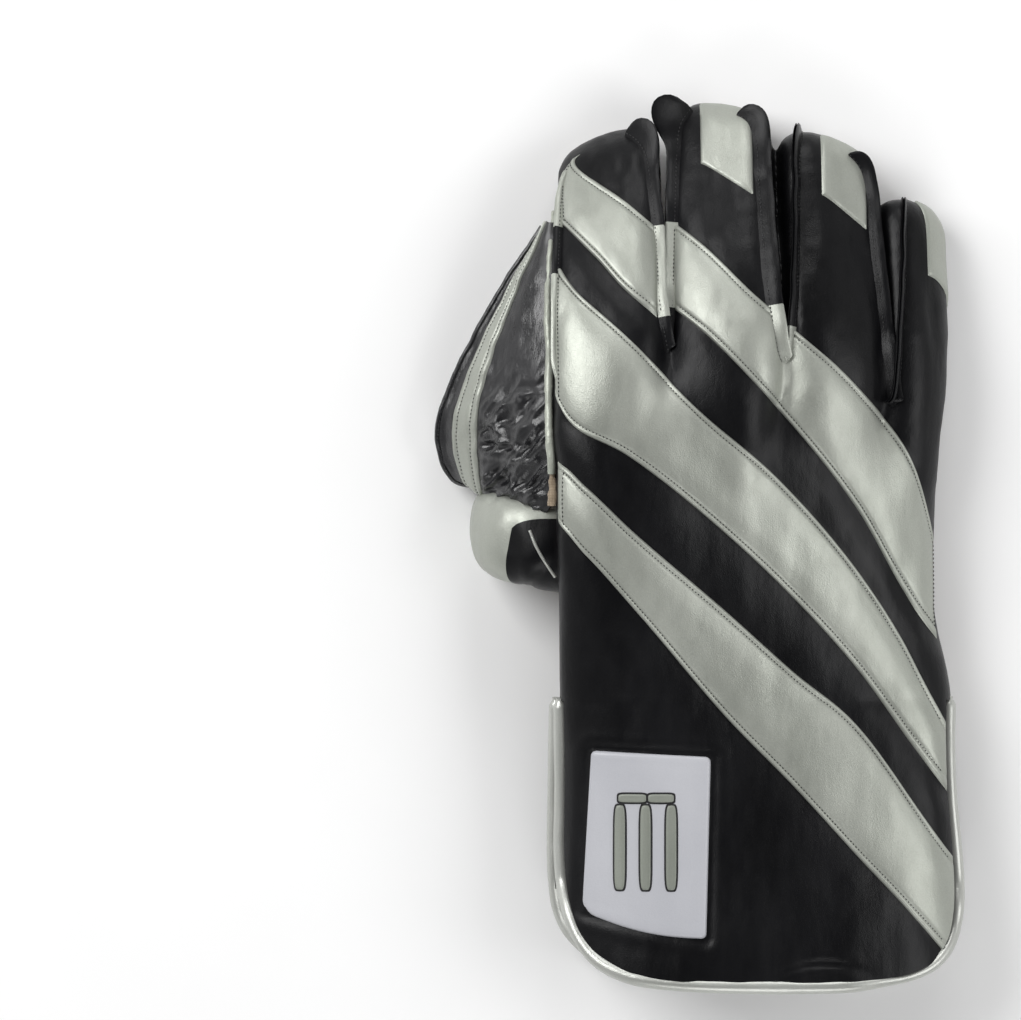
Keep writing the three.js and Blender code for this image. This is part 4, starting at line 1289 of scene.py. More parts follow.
@dataclass
class Band:
    """A silver band sewn on the back."""

    name: str
    rows: Array
    sides: tuple[bool, bool]  # whether its left and right end reach the side seam
    step: float = 1.25
    swell: float = 0.35
    eased: float = 16.0  # length over which an end is fitted to the side seam

    @staticmethod
    def outline_of(rows: Array) -> Array:
        """The band's outline in plan, in millimetres.

        Args:
            rows: the band's table.
        Returns:
            Corners of the outline.
        """
        x = np.linspace(rows[0, 0], rows[-1, 0], 40)
        edges = smooth_rows(rows, x)
        upper = np.column_stack([x * HALF_WIDTH, edges[:, 0] * LENGTH])
        lower = np.column_stack([x * HALF_WIDTH, edges[:, 1] * LENGTH])
        return np.vstack([lower, upper[::-1]])

    def edges(self, x: Array) -> Array:
        """Upper and lower edge at x, in millimetres."""
        return smooth_rows(self.rows, x / HALF_WIDTH) * LENGTH

    def stations(self, skin: Skin) -> Array:
        """Places along the band in plan, at equal steps over the skin.

        Args:
            skin: what the band lies on.
        Returns:
            The x of each place.
        """
        x = np.linspace(self.rows[0, 0], self.rows[-1, 0], 500) * HALF_WIDTH
        run = run_of(np.array([skin.drop(a, b)[0] for a, b in zip(x, self.edges(x).mean(1))]))
        return np.interp(np.linspace(0, run[-1], int(run[-1] / self.step)), run, x)

    def build(self, work: Workshop, notches: Sequence[Array], replaces: str) -> None:
        """Makes the band and sews its long edges.

        Args:
            work: what it is made in.
            notches: outlines in plan between fingers, where it is cut away.
            replaces: the CAD node.
        """
        xs = self.stations(work.skin)
        edges = self.edges(xs)
        slope = np.gradient(edges.mean(1), xs)
        tilt = 1 / np.sqrt(1 + slope**2)
        wide = (edges[:, 0] - edges[:, 1]) * tilt
        inner = int(max(np.median(wide) - 2 * EDGE_STEPS[-1], 3) / 1.5)
        across = len(EDGE_STEPS) * 2 + inner
        top = np.zeros((len(xs), across, 3))
        normals = np.zeros_like(top)
        reach = [np.clip(1 - np.abs(xs - xs[end]) / self.eased, 0, 1) ** 1.5 * self.sides[end]
                 for end in (0, -1)]
        for i, x in enumerate(xs):
            distance = np.concatenate([
                EDGE_STEPS,
                np.linspace(EDGE_STEPS[-1], wide[i] - EDGE_STEPS[-1], inner + 2)[1:-1],
                wide[i] - EDGE_STEPS[::-1],
            ])
            from_edge = np.minimum(distance, wide[i] - distance)
            height = np.interp(from_edge, EDGE_STEPS, EDGE_HEIGHTS)
            height += self.swell * smoothstep(from_edge, 2.5, 9.0)
            height = np.where(from_edge < 0.01, -0.3, height)
            end = min(i, len(xs) - 1 - i)
            height *= (0.15, 0.75, 1.0)[min(end, 2)]
            for k, d in enumerate(distance):
                y = edges[i, 1] + d / tilt[i]
                fitted = x + reach[0][i] * (work.skin.side_at(y, 0) + 0.9 - xs[0])
                fitted += reach[1][i] * (work.skin.side_at(y, 1) - 0.9 - xs[-1])
                hit, normal = work.skin.drop(fitted, y)
                top[i, k], normals[i, k] = hit + normal * (height[k] + 0.1), normal
        surface = Surface(top.reshape(-1, 3), grid_faces(len(xs), across)[:, ::-1])
        for notch in notches:
            _, surface = surface.split(lambda p: outline_distance(p, notch) - 0.9)
        mouth = Panels.mouth(BACK_EDGE)
        surface, _ = surface.split(lambda p: outline_distance(p, mouth) - 1.5)
        surface = surface.facing(UP)
        for end, reaches in ((3, self.sides[0]), (len(xs) - 3, self.sides[1])):
            inside = outline_distance(top[end], mouth) > 3.0
            inside[:4] = inside[-4:] = False
            if reaches:
                up = normals[end, inside]
                work.black.run(top[end, inside] + up * 0.1, up, 1.6, 1.2, 0.28)
        groove = int(np.argmin(np.abs(EDGE_STEPS - 2.0)))
        for k in (groove, across - 1 - groove):
            path, up = top[2:-2, k], normals[2:-2, k]
            free = outline_distance(path, mouth) > 3.0
            for notch in notches:
                free &= outline_distance(path, notch) < -1.0
            for run in np.split(np.arange(len(path)), np.flatnonzero(~free)):
                run = run[free[run]]
                if len(run) > 2:
                    work.black.run(path[run] + up[run] * 0.1, up[run], 1.45)
        work.frame.make(self.name, surface.points, surface.faces, [work.finishes.silver],
                        "silver_leather", [replaces])


@dataclass
class Flange:
    """A raw seam edge standing out between two fingers, from one tip round the crotch to the next."""

    name: str
    path: Array
    heights: tuple[float, float] = (4.8, 4.8)
    lobes: tuple[float, float] = (0.0, 0.0)  # extra height at its two ends
    leans: tuple[float, float] = (1.0, 1.0)
    silver: Sequence[str] = ()
    half_width: float = 1.05
    lobe_length: float = 13.0

    SECTION = np.array([
        (-1.0, -0.35), (-1.0, 0.55), (-0.88, 0.88), (-0.45, 1.0), (-0.14, 0.93), (0.0, 0.8),
        (0.14, 0.93), (0.45, 1.0), (0.88, 0.88), (1.0, 0.55), (1.0, -0.35),
    ])

    def on_band(self, plan: Array) -> Array:
        """Whether places in plan are where a silver band folds over the seam.

        Args:
            plan: places in plan.
        Returns:
            True where a band covers the seam.
        """
        found = np.zeros(len(plan), bool)
        for name in self.silver:
            rows = BAND_ROWS[name]
            x, y = plan[:, 0], plan[:, 1]
            low, high = rows[0, 0] * HALF_WIDTH - 6, rows[-1, 0] * HALF_WIDTH + 6
            edges = smooth_rows(rows, x / HALF_WIDTH) * LENGTH
            found |= (x > low) & (x < high) & (y < edges[:, 0]) & (y > edges[:, 1])
        return found

    def profile(self, plan: Array) -> tuple[Array, Array, Array]:
        """Height, lean and closeness to a fingertip at each point of the seam.

        Args:
            plan: places along the seam in plan.
        Returns:
            The three measures at each place.
        """
        count = len(plan)
        run = np.arange(count, dtype=float)
        turn = float(np.argmin(plan[:, 1]))
        second = smoothstep(run, turn - 5, turn + 5)
        height = self.heights[0] * (1 - second) + self.heights[1] * second
        lean = self.leans[0] * (1 - second) + self.leans[1] * second
        tip = np.zeros(count)
        for end, lobe in ((0, self.lobes[0]), (count - 1, self.lobes[1])):
            away = np.abs(run - end)
            if plan[end, 1] > 290:
                tip = np.maximum(tip, 1 - np.clip(away / self.lobe_length, 0, 1))
                bulge = bell(away, 3.5, self.lobe_length * 0.62)
                closing = np.clip(1 - (away + 0.3) / 6.5, 0, 1)
                height = (height + lobe * bulge) * np.sqrt(1 - closing**2)
            else:
                height = height * smoothstep(away, -2, 14)
        return height, lean, tip

    def build(self, work: Workshop) -> None:
        """Makes the seam and its stitches, leaning into the notch on the path's left.

        Args:
            work: what it is made in.
        """
        plan = resample(self.path, 1.0)
        dropped = [work.skin.drop(x, y) for x, y in plan]
        foot = np.array([d[0] for d in dropped])
        normal = np.array([d[1] for d in dropped])
        soften(foot, 6)
        soften(normal, 6)
        foot[:, 2] -= 0.6
        ahead = unit(np.gradient(foot, axis=0))
        plan_ahead = unit(np.gradient(plan, axis=0))
        into = np.column_stack([-plan_ahead[:, 1], plan_ahead[:, 0], np.zeros(len(plan))])
        count = len(plan)
        height, lean, tip = self.profile(plan)
        height = height * (1 + 0.06 * noise(foot, 9.0, 21))
        forwards = np.array([0, 1.0, 0.15]) * (tip**1.3)[:, None] * 1.7
        stand = unit(normal * 0.75 + into * lean[:, None] + forwards)
        thin = unit(np.cross(stand, ahead))
        stand = unit(np.cross(ahead, thin))
        wave = 0.3 * noise(foot, 7.0, 23)
        across, rise = self.SECTION.T
        aside = across[None] * self.half_width + wave[:, None]
        rings = (foot[:, None] + thin[:, None] * aside[..., None]
                 + stand[:, None] * (rise[None] * height[:, None])[..., None])
        lay_on_floor(rings)
        k = len(self.SECTION)
        faces = grid_faces(count, k)
        ends = [[0, j, j + 1] for j in range(1, k - 1)]
        ends += [[(count - 1) * k, (count - 1) * k + j + 1, (count - 1) * k + j] for j in range(1, k - 1)]
        faces = np.vstack([faces, ends])
        bright = self.on_band(plan)
        places = np.where(bright[np.clip(faces.min(1) // k, 0, count - 1)], 1, 0)
        facing = thin * np.sign(thin[:, 2:3])
        row = foot + facing * self.half_width * 1.04 + stand * 1.3
        for part in np.split(np.arange(count), np.flatnonzero(np.diff(bright.astype(int))) + 1):
            if len(part) > 3:
                work.black.run(row[part], facing[part], 1.7, 1.3, 0.24)
        looks = [work.finishes.black, work.finishes.silver]
        work.frame.make(self.name, rings.reshape(-1, 3), faces, looks, "black_leather", places=places)


SEAMS = (
    Flange("seam_index_middle", np.array([
        (-49.6, 326.4), (-46.6, 324.8), (-43.2, 319.0), (-41.4, 308.0), (-40.2, 296.0), (-39.4, 280.0),
        (-38.6, 262.0), (-37.0, 250.0), (-34.9, 242.0), (-32.8, 250.0), (-31.6, 264.0), (-30.8, 284.0),
        (-30.2, 304.0), (-29.4, 321.0), (-28.0, 331.0), (-24.8, 336.0)]),
        heights=(4.4, 4.8), lobes=(6.2, 10.2), leans=(1.3, 1.4), silver=("index", "upper")),
    Flange("seam_middle_ring", np.array([
        (-7.4, 333.4), (-3.6, 331.0), (-1.2, 323.0), (-0.4, 306.0), (0.8, 286.0), (2.6, 264.0), (4.6, 250.0),
        (6.4, 241.0), (9.0, 236.8), (11.8, 241.0), (13.4, 252.0), (14.4, 270.0), (15.0, 290.0),
        (15.4, 306.0), (15.8, 320.0), (16.8, 327.4)]),
        heights=(6.2, 4.2), lobes=(2.6, 5.0), leans=(1.7, 0.15), silver=("upper",)),
    Flange("seam_ring_little", np.array([
        (34.6, 318.6), (38.8, 314.0), (41.4, 307.0), (42.4, 298.0), (43.4, 284.0), (45.4, 266.0),
        (47.4, 248.0),
        (49.4, 232.0), (51.4, 221.5), (53.0, 232.0), (54.2, 248.0), (55.2, 265.0), (55.8, 282.0),
        (56.0, 292.0), (56.4, 300.4)]),
        heights=(5.0, 4.4), lobes=(1.5, 4.0), leans=(1.4, 0.1)),
)
OUTER_SEAM = Flange("seam_index_outer", np.array([
    (-75.0, 226.0), (-75.6, 240.0), (-75.6, 256.0), (-75.2, 272.0), (-74.6, 288.0), (-73.4, 304.0),
    (-71.8, 313.0)]),
    heights=(3.2, 3.2), leans=(0.5, 0.5), silver=("index", "middle"))


def notch_outline(path: Array) -> Array:
    """The plan outline between two fingers, closed over their tips."""
    plan = resample(path, 3.0)
    return np.vstack([plan, plan[-1] + (0, 40), plan[0] + (0, 40)])


def tube_along(path: Array, radius: Array | float, around: int,
               ripple: float = 0.0) -> Triangles:
    """A closed round tube along a path.

    Args:
        path: points along its middle.
        radius: its radius, or one for each point.
        around: points round it.
        ripple: depth of the small folds across it.
    Returns:
        Points and faces.
    """
    ahead = unit(np.gradient(path, axis=0))
    side = np.zeros_like(path)
    side[0] = unit(np.cross(ahead[0], (0.0, 0.1, 1.0)))
    for i in range(1, len(path)):
        side[i] = unit(side[i - 1] - ahead[i] * (side[i - 1] @ ahead[i]))
    up = np.cross(ahead, side)
    turn = turns(around)
    radius = np.broadcast_to(np.asarray(radius, float), (len(path),))
    ring = (side[:, None] * np.cos(turn)[None, :, None] + up[:, None] * np.sin(turn)[None, :, None])
    points = path[:, None] + ring * radius[:, None, None]
    if ripple:
        flat = points.reshape(-1, 3)
        lift = noise(flat + ring.reshape(-1, 3) * 2, 1.7, 31) + 0.8 * noise(flat, 4.5, 33)
        points = points + ring * (ripple * lift).reshape(points.shape[:2])[..., None]
    return closed_tube(points)


@dataclass
class Panels(Workshop):
    """The leather, rubber and cloth panels that the skin is cut into."""

    @staticmethod
    def mouth(edge: Array) -> Array:
        """The plan outline of all that lies inside a panel's edge."""
        path = resample(edge, 2.0)
        return np.vstack([path, (140, 112), (140, 400), (-160, 400), (-160, 112)])

    def rubber_height(self, points: Array) -> Array:
        """Field that is above zero on leather: the side strips of the fingers reach under the seam."""
        strip = 3.2 * smoothstep(points[:, 1], 225, 245)
        return self.skin.seam_height(points) + strip

    def gusset_field(self, points: Array) -> Array:
        """Field that is above zero on the gusset at the thumb side of the wrist."""
        return np.minimum(GUSSET_RIGHT - points[:, 0], PALM_EDGE + GUSSET_WIDTH - points[:, 1])

    @staticmethod
    def gathered(elastic: Surface) -> Surface:
        """The strip across the wrist with its gathers.

        Args:
            elastic: the even strip.
        Returns:
            The strip with its points moved.
        """
        gather = 0.55 * np.sin(elastic.points[:, 0] * 2 * math.pi / 3.4)
        gather += 0.3 * noise(elastic.points, 3.0, 41)
        share = np.clip((elastic.points[:, 1] - PALM_EDGE) / ELASTIC_WIDTH + 1, 0, 1)
        moved = elastic.points + elastic.normals * ((gather - 0.5) * np.sin(share * math.pi))[:, None]
        lay_on_floor(moved)
        return Surface(moved, elastic.faces)

    def build(self) -> None:
        """Cuts the skin into its panels and makes them."""
        f = self.finishes
        back, palm = self.skin.surface.split(self.rubber_height)
        hand_back, cuff_back = back.split(lambda p: p[:, 1] - WRIST_SEAM)
        mouth = self.mouth(BACK_EDGE)
        cuff_back, _ = cuff_back.split(lambda p: outline_distance(p, mouth) - 1.2)
        rubber, wrist = palm.split(lambda p: p[:, 1] - PALM_EDGE)
        gusset, rubber = rubber.split(self.gusset_field)
        elastic, cuff = wrist.split(lambda p: p[:, 1] - (PALM_EDGE - ELASTIC_WIDTH))
        mouth = self.mouth(PALM_EDGE_ROWS)
        cuff, _ = cuff.split(lambda p: outline_distance(p, mouth))
        patch, cuff = cuff.split(lambda p: outline_distance(p, CUFF_PATCH))
        backs = ["back_of_hand", *[f"finger_back_{finger.name}" for finger in FINGERS]]
        fronts = ["palm_facing", *[f"finger_front_{finger.name}" for finger in FINGERS]]
        for name, surface, wall, finish, slot, nodes, is_padded in (
            ("back_leather", hand_back, 3.2, f.black, "black_leather", backs, True),
            ("cuff_back_leather", cuff_back, 4.0, f.black, "black_leather", ["cuff_back"], True),
            ("palm_rubber", rubber, 3.0, f.rubber, "grey_rubber", fronts, False),
            ("gusset_cloth", gusset, 2.0, f.cloth, "grey_cloth", ["wrist_gusset"], False),
            ("elastic_band", self.gathered(elastic), 2.2, f.black, "black_leather", ["wrist_elastic"], False),
            ("cuff_palm_leather", cuff, 4.0, f.black, "black_leather", ["cuff_palm"], True),
            ("cuff_silver_panel", patch, 4.0, f.silver, "silver_leather", ["inner_cuff_patch"], False),
        ):
            flat = self.skin.unrolled(surface.points)
            piece = self.walled(name, surface, wall, flat, finish, slot, nodes)


@dataclass
class Bindings(Workshop):
    """The rolled silver edges of the cuff's two panels."""

    def path(self, edge: Array, part: Part) -> Array:
        """The binding's middle, on the side seams and on the panel's edge round the mouth.

        Args:
            edge: the panel's edge in plan.
            part: which panel it is.
        Returns:
            Points a millimetre apart.
        """
        plan = resample(edge, 1.0)
        centre, reach, left, right, crown, depth = self.skin.hand.row(plan[:, 1])
        share = np.clip((plan[:, 0] - centre) / reach, -0.985, 0.985)
        seam = left + (right - left) * (share + 1) / 2
        swell = (crown if part is Part.BACK else depth) - 2.0
        away = swell * (1 - np.abs(share) ** SQUARENESS) ** (1 / SQUARENESS)
        side = smoothstep(plan[:, 1], 30, 50)
        away = np.maximum(away * (1 - side), 2.9)
        z = seam + part.value * away
        path = np.column_stack([plan, np.maximum(z, 2.1)])
        soften(path, 12)
        return path

    def build(self) -> None:
        """Makes both bindings and the stitches along them."""
        for part, edge, name in (
            (Part.BACK, BACK_EDGE, "piping_back"),
            (Part.PALM, PALM_EDGE_ROWS, "piping_palm"),
        ):
            path = self.path(edge, part)
            share = np.linspace(0, 1, len(path))
            radius = 2.8 + 0.22 * noise(path, 18.0, 51) + 0.07 * noise(path, 6.0, 53)
            radius -= 0.9 * bell(share, 0.66, 0.05) * (part is Part.BACK)
            radius *= np.clip(np.minimum(share, 1 - share) * len(path) / 3, 0.35, 1) ** 0.5
            points, faces = tube_along(path, radius, 20, ripple=0.02)
            lay_on_floor(points)
            self.frame.make(f"{name}_rolled", points, faces, [self.finishes.piping], "silver_leather",
                            [name])
            ahead = unit(np.gradient(path, axis=0))
            inwards = unit(np.cross(ahead, UP))
            inwards *= np.sign(np.sum(inwards * (MOUTH_MIDDLE - path), axis=1))[:, None]
            lift = unit(inwards * 0.8 + UP * 0.6 * part.value)
            self.grey.run(path + lift * radius[:, None], lift, 1.3, 0.9, 0.26)


@dataclass
class Web(Workshop):
    """The web between the index finger and the thumb."""

    rows: int = 190
    columns: int = 74

    def grid(self, u: Array, v: Array) -> Array:
        """Points of the web's middle surface.

        Args:
            u: share of the way from the index finger to the thumb.
            v: share of the way from the seam to the rim.
        Returns:
            A point for each pair.
        """
        value = smooth_rows(WEB_ROWS, u)
        scale = np.array([HALF_WIDTH, LENGTH, HEIGHT])
        inner, rim = value[..., 0:3] * scale, value[..., 3:6] * scale
        swell = 3.0 * np.sin(math.pi * v) * math.sqrt(0.5)
        return inner + (rim - inner) * v[..., None] + np.stack([-swell, 0 * swell, swell], axis=-1)

    @staticmethod
    def band_profile(across: Array) -> Array:
        """Height of the silver band's rolled edges and stitched grooves, at places across it."""
        return np.interp(np.minimum(across, 1 - across), [0, 0.04, 0.1, 0.17, 0.23, 0.29, 0.36],
                         [-0.9, -0.2, 0.1, 0.0, -0.32, 0.0, 0.12])

    def layer(self, low: float, high: float, start: float, stop: float, columns: int, rim: float = 0.0,
              bump: Callable[[Array], Array] | None = None
              ) -> tuple[Array, Array, Array]:
        """A layer of the web between two heights.

        Args:
            low: height of its underside.
            high: height of its top.
            start: where it starts, 0 at the seam and 1 at the rim.
            stop: where it stops.
            columns: points across it.
            rim: extra height of its outer edge.
            bump: extra height of the top at places across the layer from 0 to 1.
        Returns:
            Points, faces and the grid of its top.
        """
        u, v = np.meshgrid(np.linspace(0, 1, self.rows), np.linspace(start, stop, columns), indexing="ij")
        base = self.grid(u, v)
        along = np.gradient(base, axis=0)
        out = np.gradient(base, axis=1)
        normal = unit(np.cross(out, along))
        if normal[..., 2].mean() < 0:
            normal = -normal
        flat = base.reshape(-1, 3)
        run = np.column_stack([v.ravel() * WEB_SIZE[0], u.ravel() * WEB_SIZE[1], np.zeros(u.size)])
        skewed = run @ np.array([[0.8, 0.6, 0], [-0.6, 0.8, 0], [0, 0, 1]])
        sharp = 1 - np.abs(noise(skewed, (3.0, 9.0, 1), 61)) * 2.2
        cross = 1 - np.abs(noise(run, (6.5, 3.2, 1), 63)) * 2.4
        inside = smoothstep(v, 0.0, 0.12) * (1 - smoothstep(v, 0.54, 0.66)) * smoothstep(u, 0.26, 0.56)
        inside = inside.ravel()
        lift = inside * (1.5 * np.clip(sharp, -1, 1) + 1.15 * np.clip(cross, -1, 1))
        lift += 0.9 * noise(flat, (12, 18, 12), 65) + 0.3 * noise(flat, 5.0, 67)
        lift = lift.reshape(u.shape)
        lift *= smoothstep(u, 0.0, 0.08) * (1 - smoothstep(u, 0.93, 1.0))
        raised = high + rim * smoothstep(v, 0.93, 0.985)
        if bump is not None:
            raised = raised + bump((v - start) / (stop - start))
        upper = base + normal * (lift + raised)[..., None]
        lower = base + normal * (lift + low)[..., None]
        n = u.size
        faces = grid_faces(self.rows, columns)
        index = np.arange(n).reshape(u.shape)
        loop = np.concatenate([index[0, :], index[1:, -1], index[-1, -2::-1], index[-2:0:-1, 0]])
        nxt = np.roll(loop, -1)
        rim_faces = np.vstack([
            np.column_stack([loop, loop + n, nxt + n]),
            np.column_stack([loop, nxt + n, nxt]),
        ])
        points = np.vstack([upper.reshape(-1, 3), lower.reshape(-1, 3)])
        all_faces = np.vstack([faces, faces[:, ::-1] + n, rim_faces])
        if (Surface(points[:n], faces).normals * normal.reshape(-1, 3)).sum() < 0:
            all_faces = all_faces[:, ::-1]
        lay_on_floor(points)
        return points, all_faces, upper

    def build(self) -> None:
        """Makes the web's leather, rubber, silver band and seam binding."""
        f, skin = self.finishes, self.skin
        points, faces, top = self.layer(-0.1, 1.2, 0.0, 1.0, self.columns, rim=0.9)
        self.frame.make("web_wrinkled_leather", points, faces, [f.web], "black_leather", ["web_leather"])
        points, faces, _ = self.layer(-1.9, -0.15, 0.0, 1.0, 40)
        u, v = np.meshgrid(np.linspace(0, 1, self.rows), np.linspace(0, 1, 40), indexing="ij")
        flat = np.vstack([np.column_stack([v.ravel() * 42, u.ravel() * 118])] * 2)
        self.frame.make("web_grey_rubber", points, faces, [f.rubber], "grey_rubber", ["web_rubber"],
                        flat=flat)
        points, faces, band = self.layer(0.8, 2.1, 0.64, 0.872, 31, bump=self.band_profile)
        self.frame.make("web_silver_band", points, faces, [f.silver], "silver_leather", ["web_band"])
        up = unit(np.cross(np.gradient(band, axis=1), np.gradient(band, axis=0)))
        up *= np.sign(up[..., 2].mean())
        for k in (7, 23):
            self.black.run(band[4:-4, k] + up[4:-4, k] * 0.12, up[4:-4, k], 1.5)
        y = np.linspace(197.0, 297.0, 120)
        seam = np.column_stack([skin.side_at(y, 0) - 1.7, y, skin.side_at(y, 0, 2) + 0.4])
        thin = 1.55 - 0.6 * smoothstep(y, 255, 297) + 0.16 * noise(seam, 5.0, 71)
        y = np.linspace(198.5, 185.0, 22)
        bit = np.column_stack([skin.side_at(y, 0) - 1.2, y, skin.side_at(y, 0, 2) - 0.5])
        ragged = 1.7 + 0.5 * noise(bit, 3.0, 73)
        for name, path, radius, around, ripple, finish, slot in (
            ("web_seam_binding", seam, thin, 12, 0.16, f.seam, "silver_leather"),
            ("web_raw_lining", bit, ragged, 12, 0.5, f.raw, "grey_cloth"),
            ("web_rim_binding", resample(top[3:-3, -1], 1.1), 1.05, 10, 0.08, f.web, "black_leather"),
        ):
            self.frame.make(name, *tube_along(path, radius, around, ripple), [finish], slot)


@dataclass
class Thumb(Workshop):
    """The thumb stall, bent down at the side of the hand."""

    half_width: float = 18.0
    half_thick: float = 15.5
    wall: float = 2.6
    rounding: float = 13.0
    silver_from: float = 0.55  # share of its length where the silver end starts
    rows: int = 96
    around: int = 84

    WRINKLES = (  # share of the length, how much it wanders, depth
        (0.3, 0.03, 0.5), (0.44, 0.05, 0.8), (0.55, -0.04, 0.6), (0.63, 0.05, 0.45),
    )

    def __post_init__(self) -> None:
        """Works out the stall's grid."""
        knots = np.column_stack([np.arange(len(THUMB_ROWS)), THUMB_ROWS * (HALF_WIDTH, LENGTH, HEIGHT)])
        path = smooth_rows(knots, np.linspace(0, len(THUMB_ROWS) - 1, 300))
        run = run_of(path)
        self.share = 1 - (1 - np.linspace(0, 1, self.rows)) ** 1.6
        at = self.share * run[-1]
        centre = read_along(at, run, path)
        ahead = unit(read_along(at, run, np.gradient(path, axis=0)))
        along = np.array([0.0, 1.0, 0.0])
        side = unit(along - ahead * (ahead @ along)[:, None])
        up = unit(np.cross(side, ahead))
        shut = rounded_off(np.clip(1 - (run[-1] - at) / self.rounding, 0, 1))
        across, over = squarish(turns(self.around)[None, :], SQUARENESS)
        a = across * (self.half_width * shut)[:, None]
        b = over * (self.half_thick * shut)[:, None]
        points = centre[:, None] + a[..., None] * side[:, None] + b[..., None] * up[:, None]
        flat = points.reshape(-1, 3)
        normal = unit((a / self.half_width**2)[..., None] * side[:, None]
                      + (b / self.half_thick**2)[..., None] * up[:, None]).reshape(-1, 3)
        share = np.repeat(self.share, self.around)
        lift = 0.7 * noise(flat, (16, 14, 16), 81) + 0.25 * noise(flat, 6.0, 83)
        turn = np.tile(turns(self.around), self.rows)
        for place, sway, depth in self.WRINKLES:
            lift -= depth * bell(share, place + sway * np.sin(turn + 9 * place), 0.02)
        flat = flat + normal * lift[:, None]
        lay_on_floor(flat)
        self.surface = Surface(flat, grid_faces(self.rows, self.around, closed=True)).facing(normal)
        self.centre, self.up_axis, self.tangent = centre, up, ahead

    def station_of(self, points: Array) -> Array:
        """Which place of the centreline is nearest to each point."""
        return np.argmin(np.linalg.norm(points[:, None, :] - self.centre[None, :, :], axis=2), axis=1)

    def height(self, points: Array) -> Array:
        """Height of points over the stall's side seams."""
        index = self.station_of(points)
        return np.sum((points - self.centre[index]) * self.up_axis[index], axis=1)

    def silver(self, points: Array) -> Array:
        """Field above zero on the silver end, which runs on round the black leather's finger side.

        Args:
            points: places on the stall.
        Returns:
            The field's value at each place.
        """
        middle, reach = np.array([-80.0, 164.0]), np.array([18.5, 16.0])
        out = np.maximum((middle[0] - points[:, 0]) / reach[0], 0)
        up = np.maximum((points[:, 1] - middle[1]) / reach[1], 0)
        field_ = ((out**2.6 + up**2.6) ** (1 / 2.6) - 1) * 16
        index = int(np.argmin(np.abs(self.share - self.silver_from)))
        return np.maximum(field_, (points - self.centre[index]) @ self.tangent[index])

    def unrolled(self, points: Array) -> Array:
        """Places on the palm side laid flat: across the stall and along it.

        Args:
            points: places on the stall.
        Returns:
            Two numbers for each place.
        """
        index = self.station_of(points)
        across = points[:, 1] - self.centre[index, 1]
        height = self.height(points) + self.half_thick
        flat = across + np.tanh(across / 6) * np.maximum(height, 0) * 0.9
        return np.column_stack([flat, run_of(self.centre)[index]])

    def build(self) -> None:
        """Cuts the stall into its leather, silver and rubber and makes them."""
        f = self.finishes
        back, front = self.surface.split(self.height)
        patch, base = back.split(self.silver)
        for name, surface, finish, slot, node in (
            ("thumb_leather", base, f.black, "black_leather", "thumb_base"),
            ("thumb_silver_end", patch, f.silver, "silver_leather", "thumb_tip_patch"),
            ("thumb_rubber", front, f.rubber, "grey_rubber", "thumb_front"),
        ):
            self.walled(name, surface, self.wall, self.unrolled(surface.points), finish, slot, [node])
        tree = BVHTree.FromPolygons(self.surface.points.tolist(), self.surface.faces.tolist())
        plan = resample(np.array([(-86.6, 175.6), (-84.4, 170.0), (-81.4, 164.6), (-77.0, 158.0)]), 0.8)
        hits = [tree.ray_cast(Vector((x, y, RAY_HEIGHT)), Vector((0, 0, -1)))[0] for x, y in plan]
        path = np.array([hit for hit in hits if hit is not None])
        self.frame.make("thumb_silver_seam", *tube_along(path, 0.62, 8), [f.piping], "silver_leather")


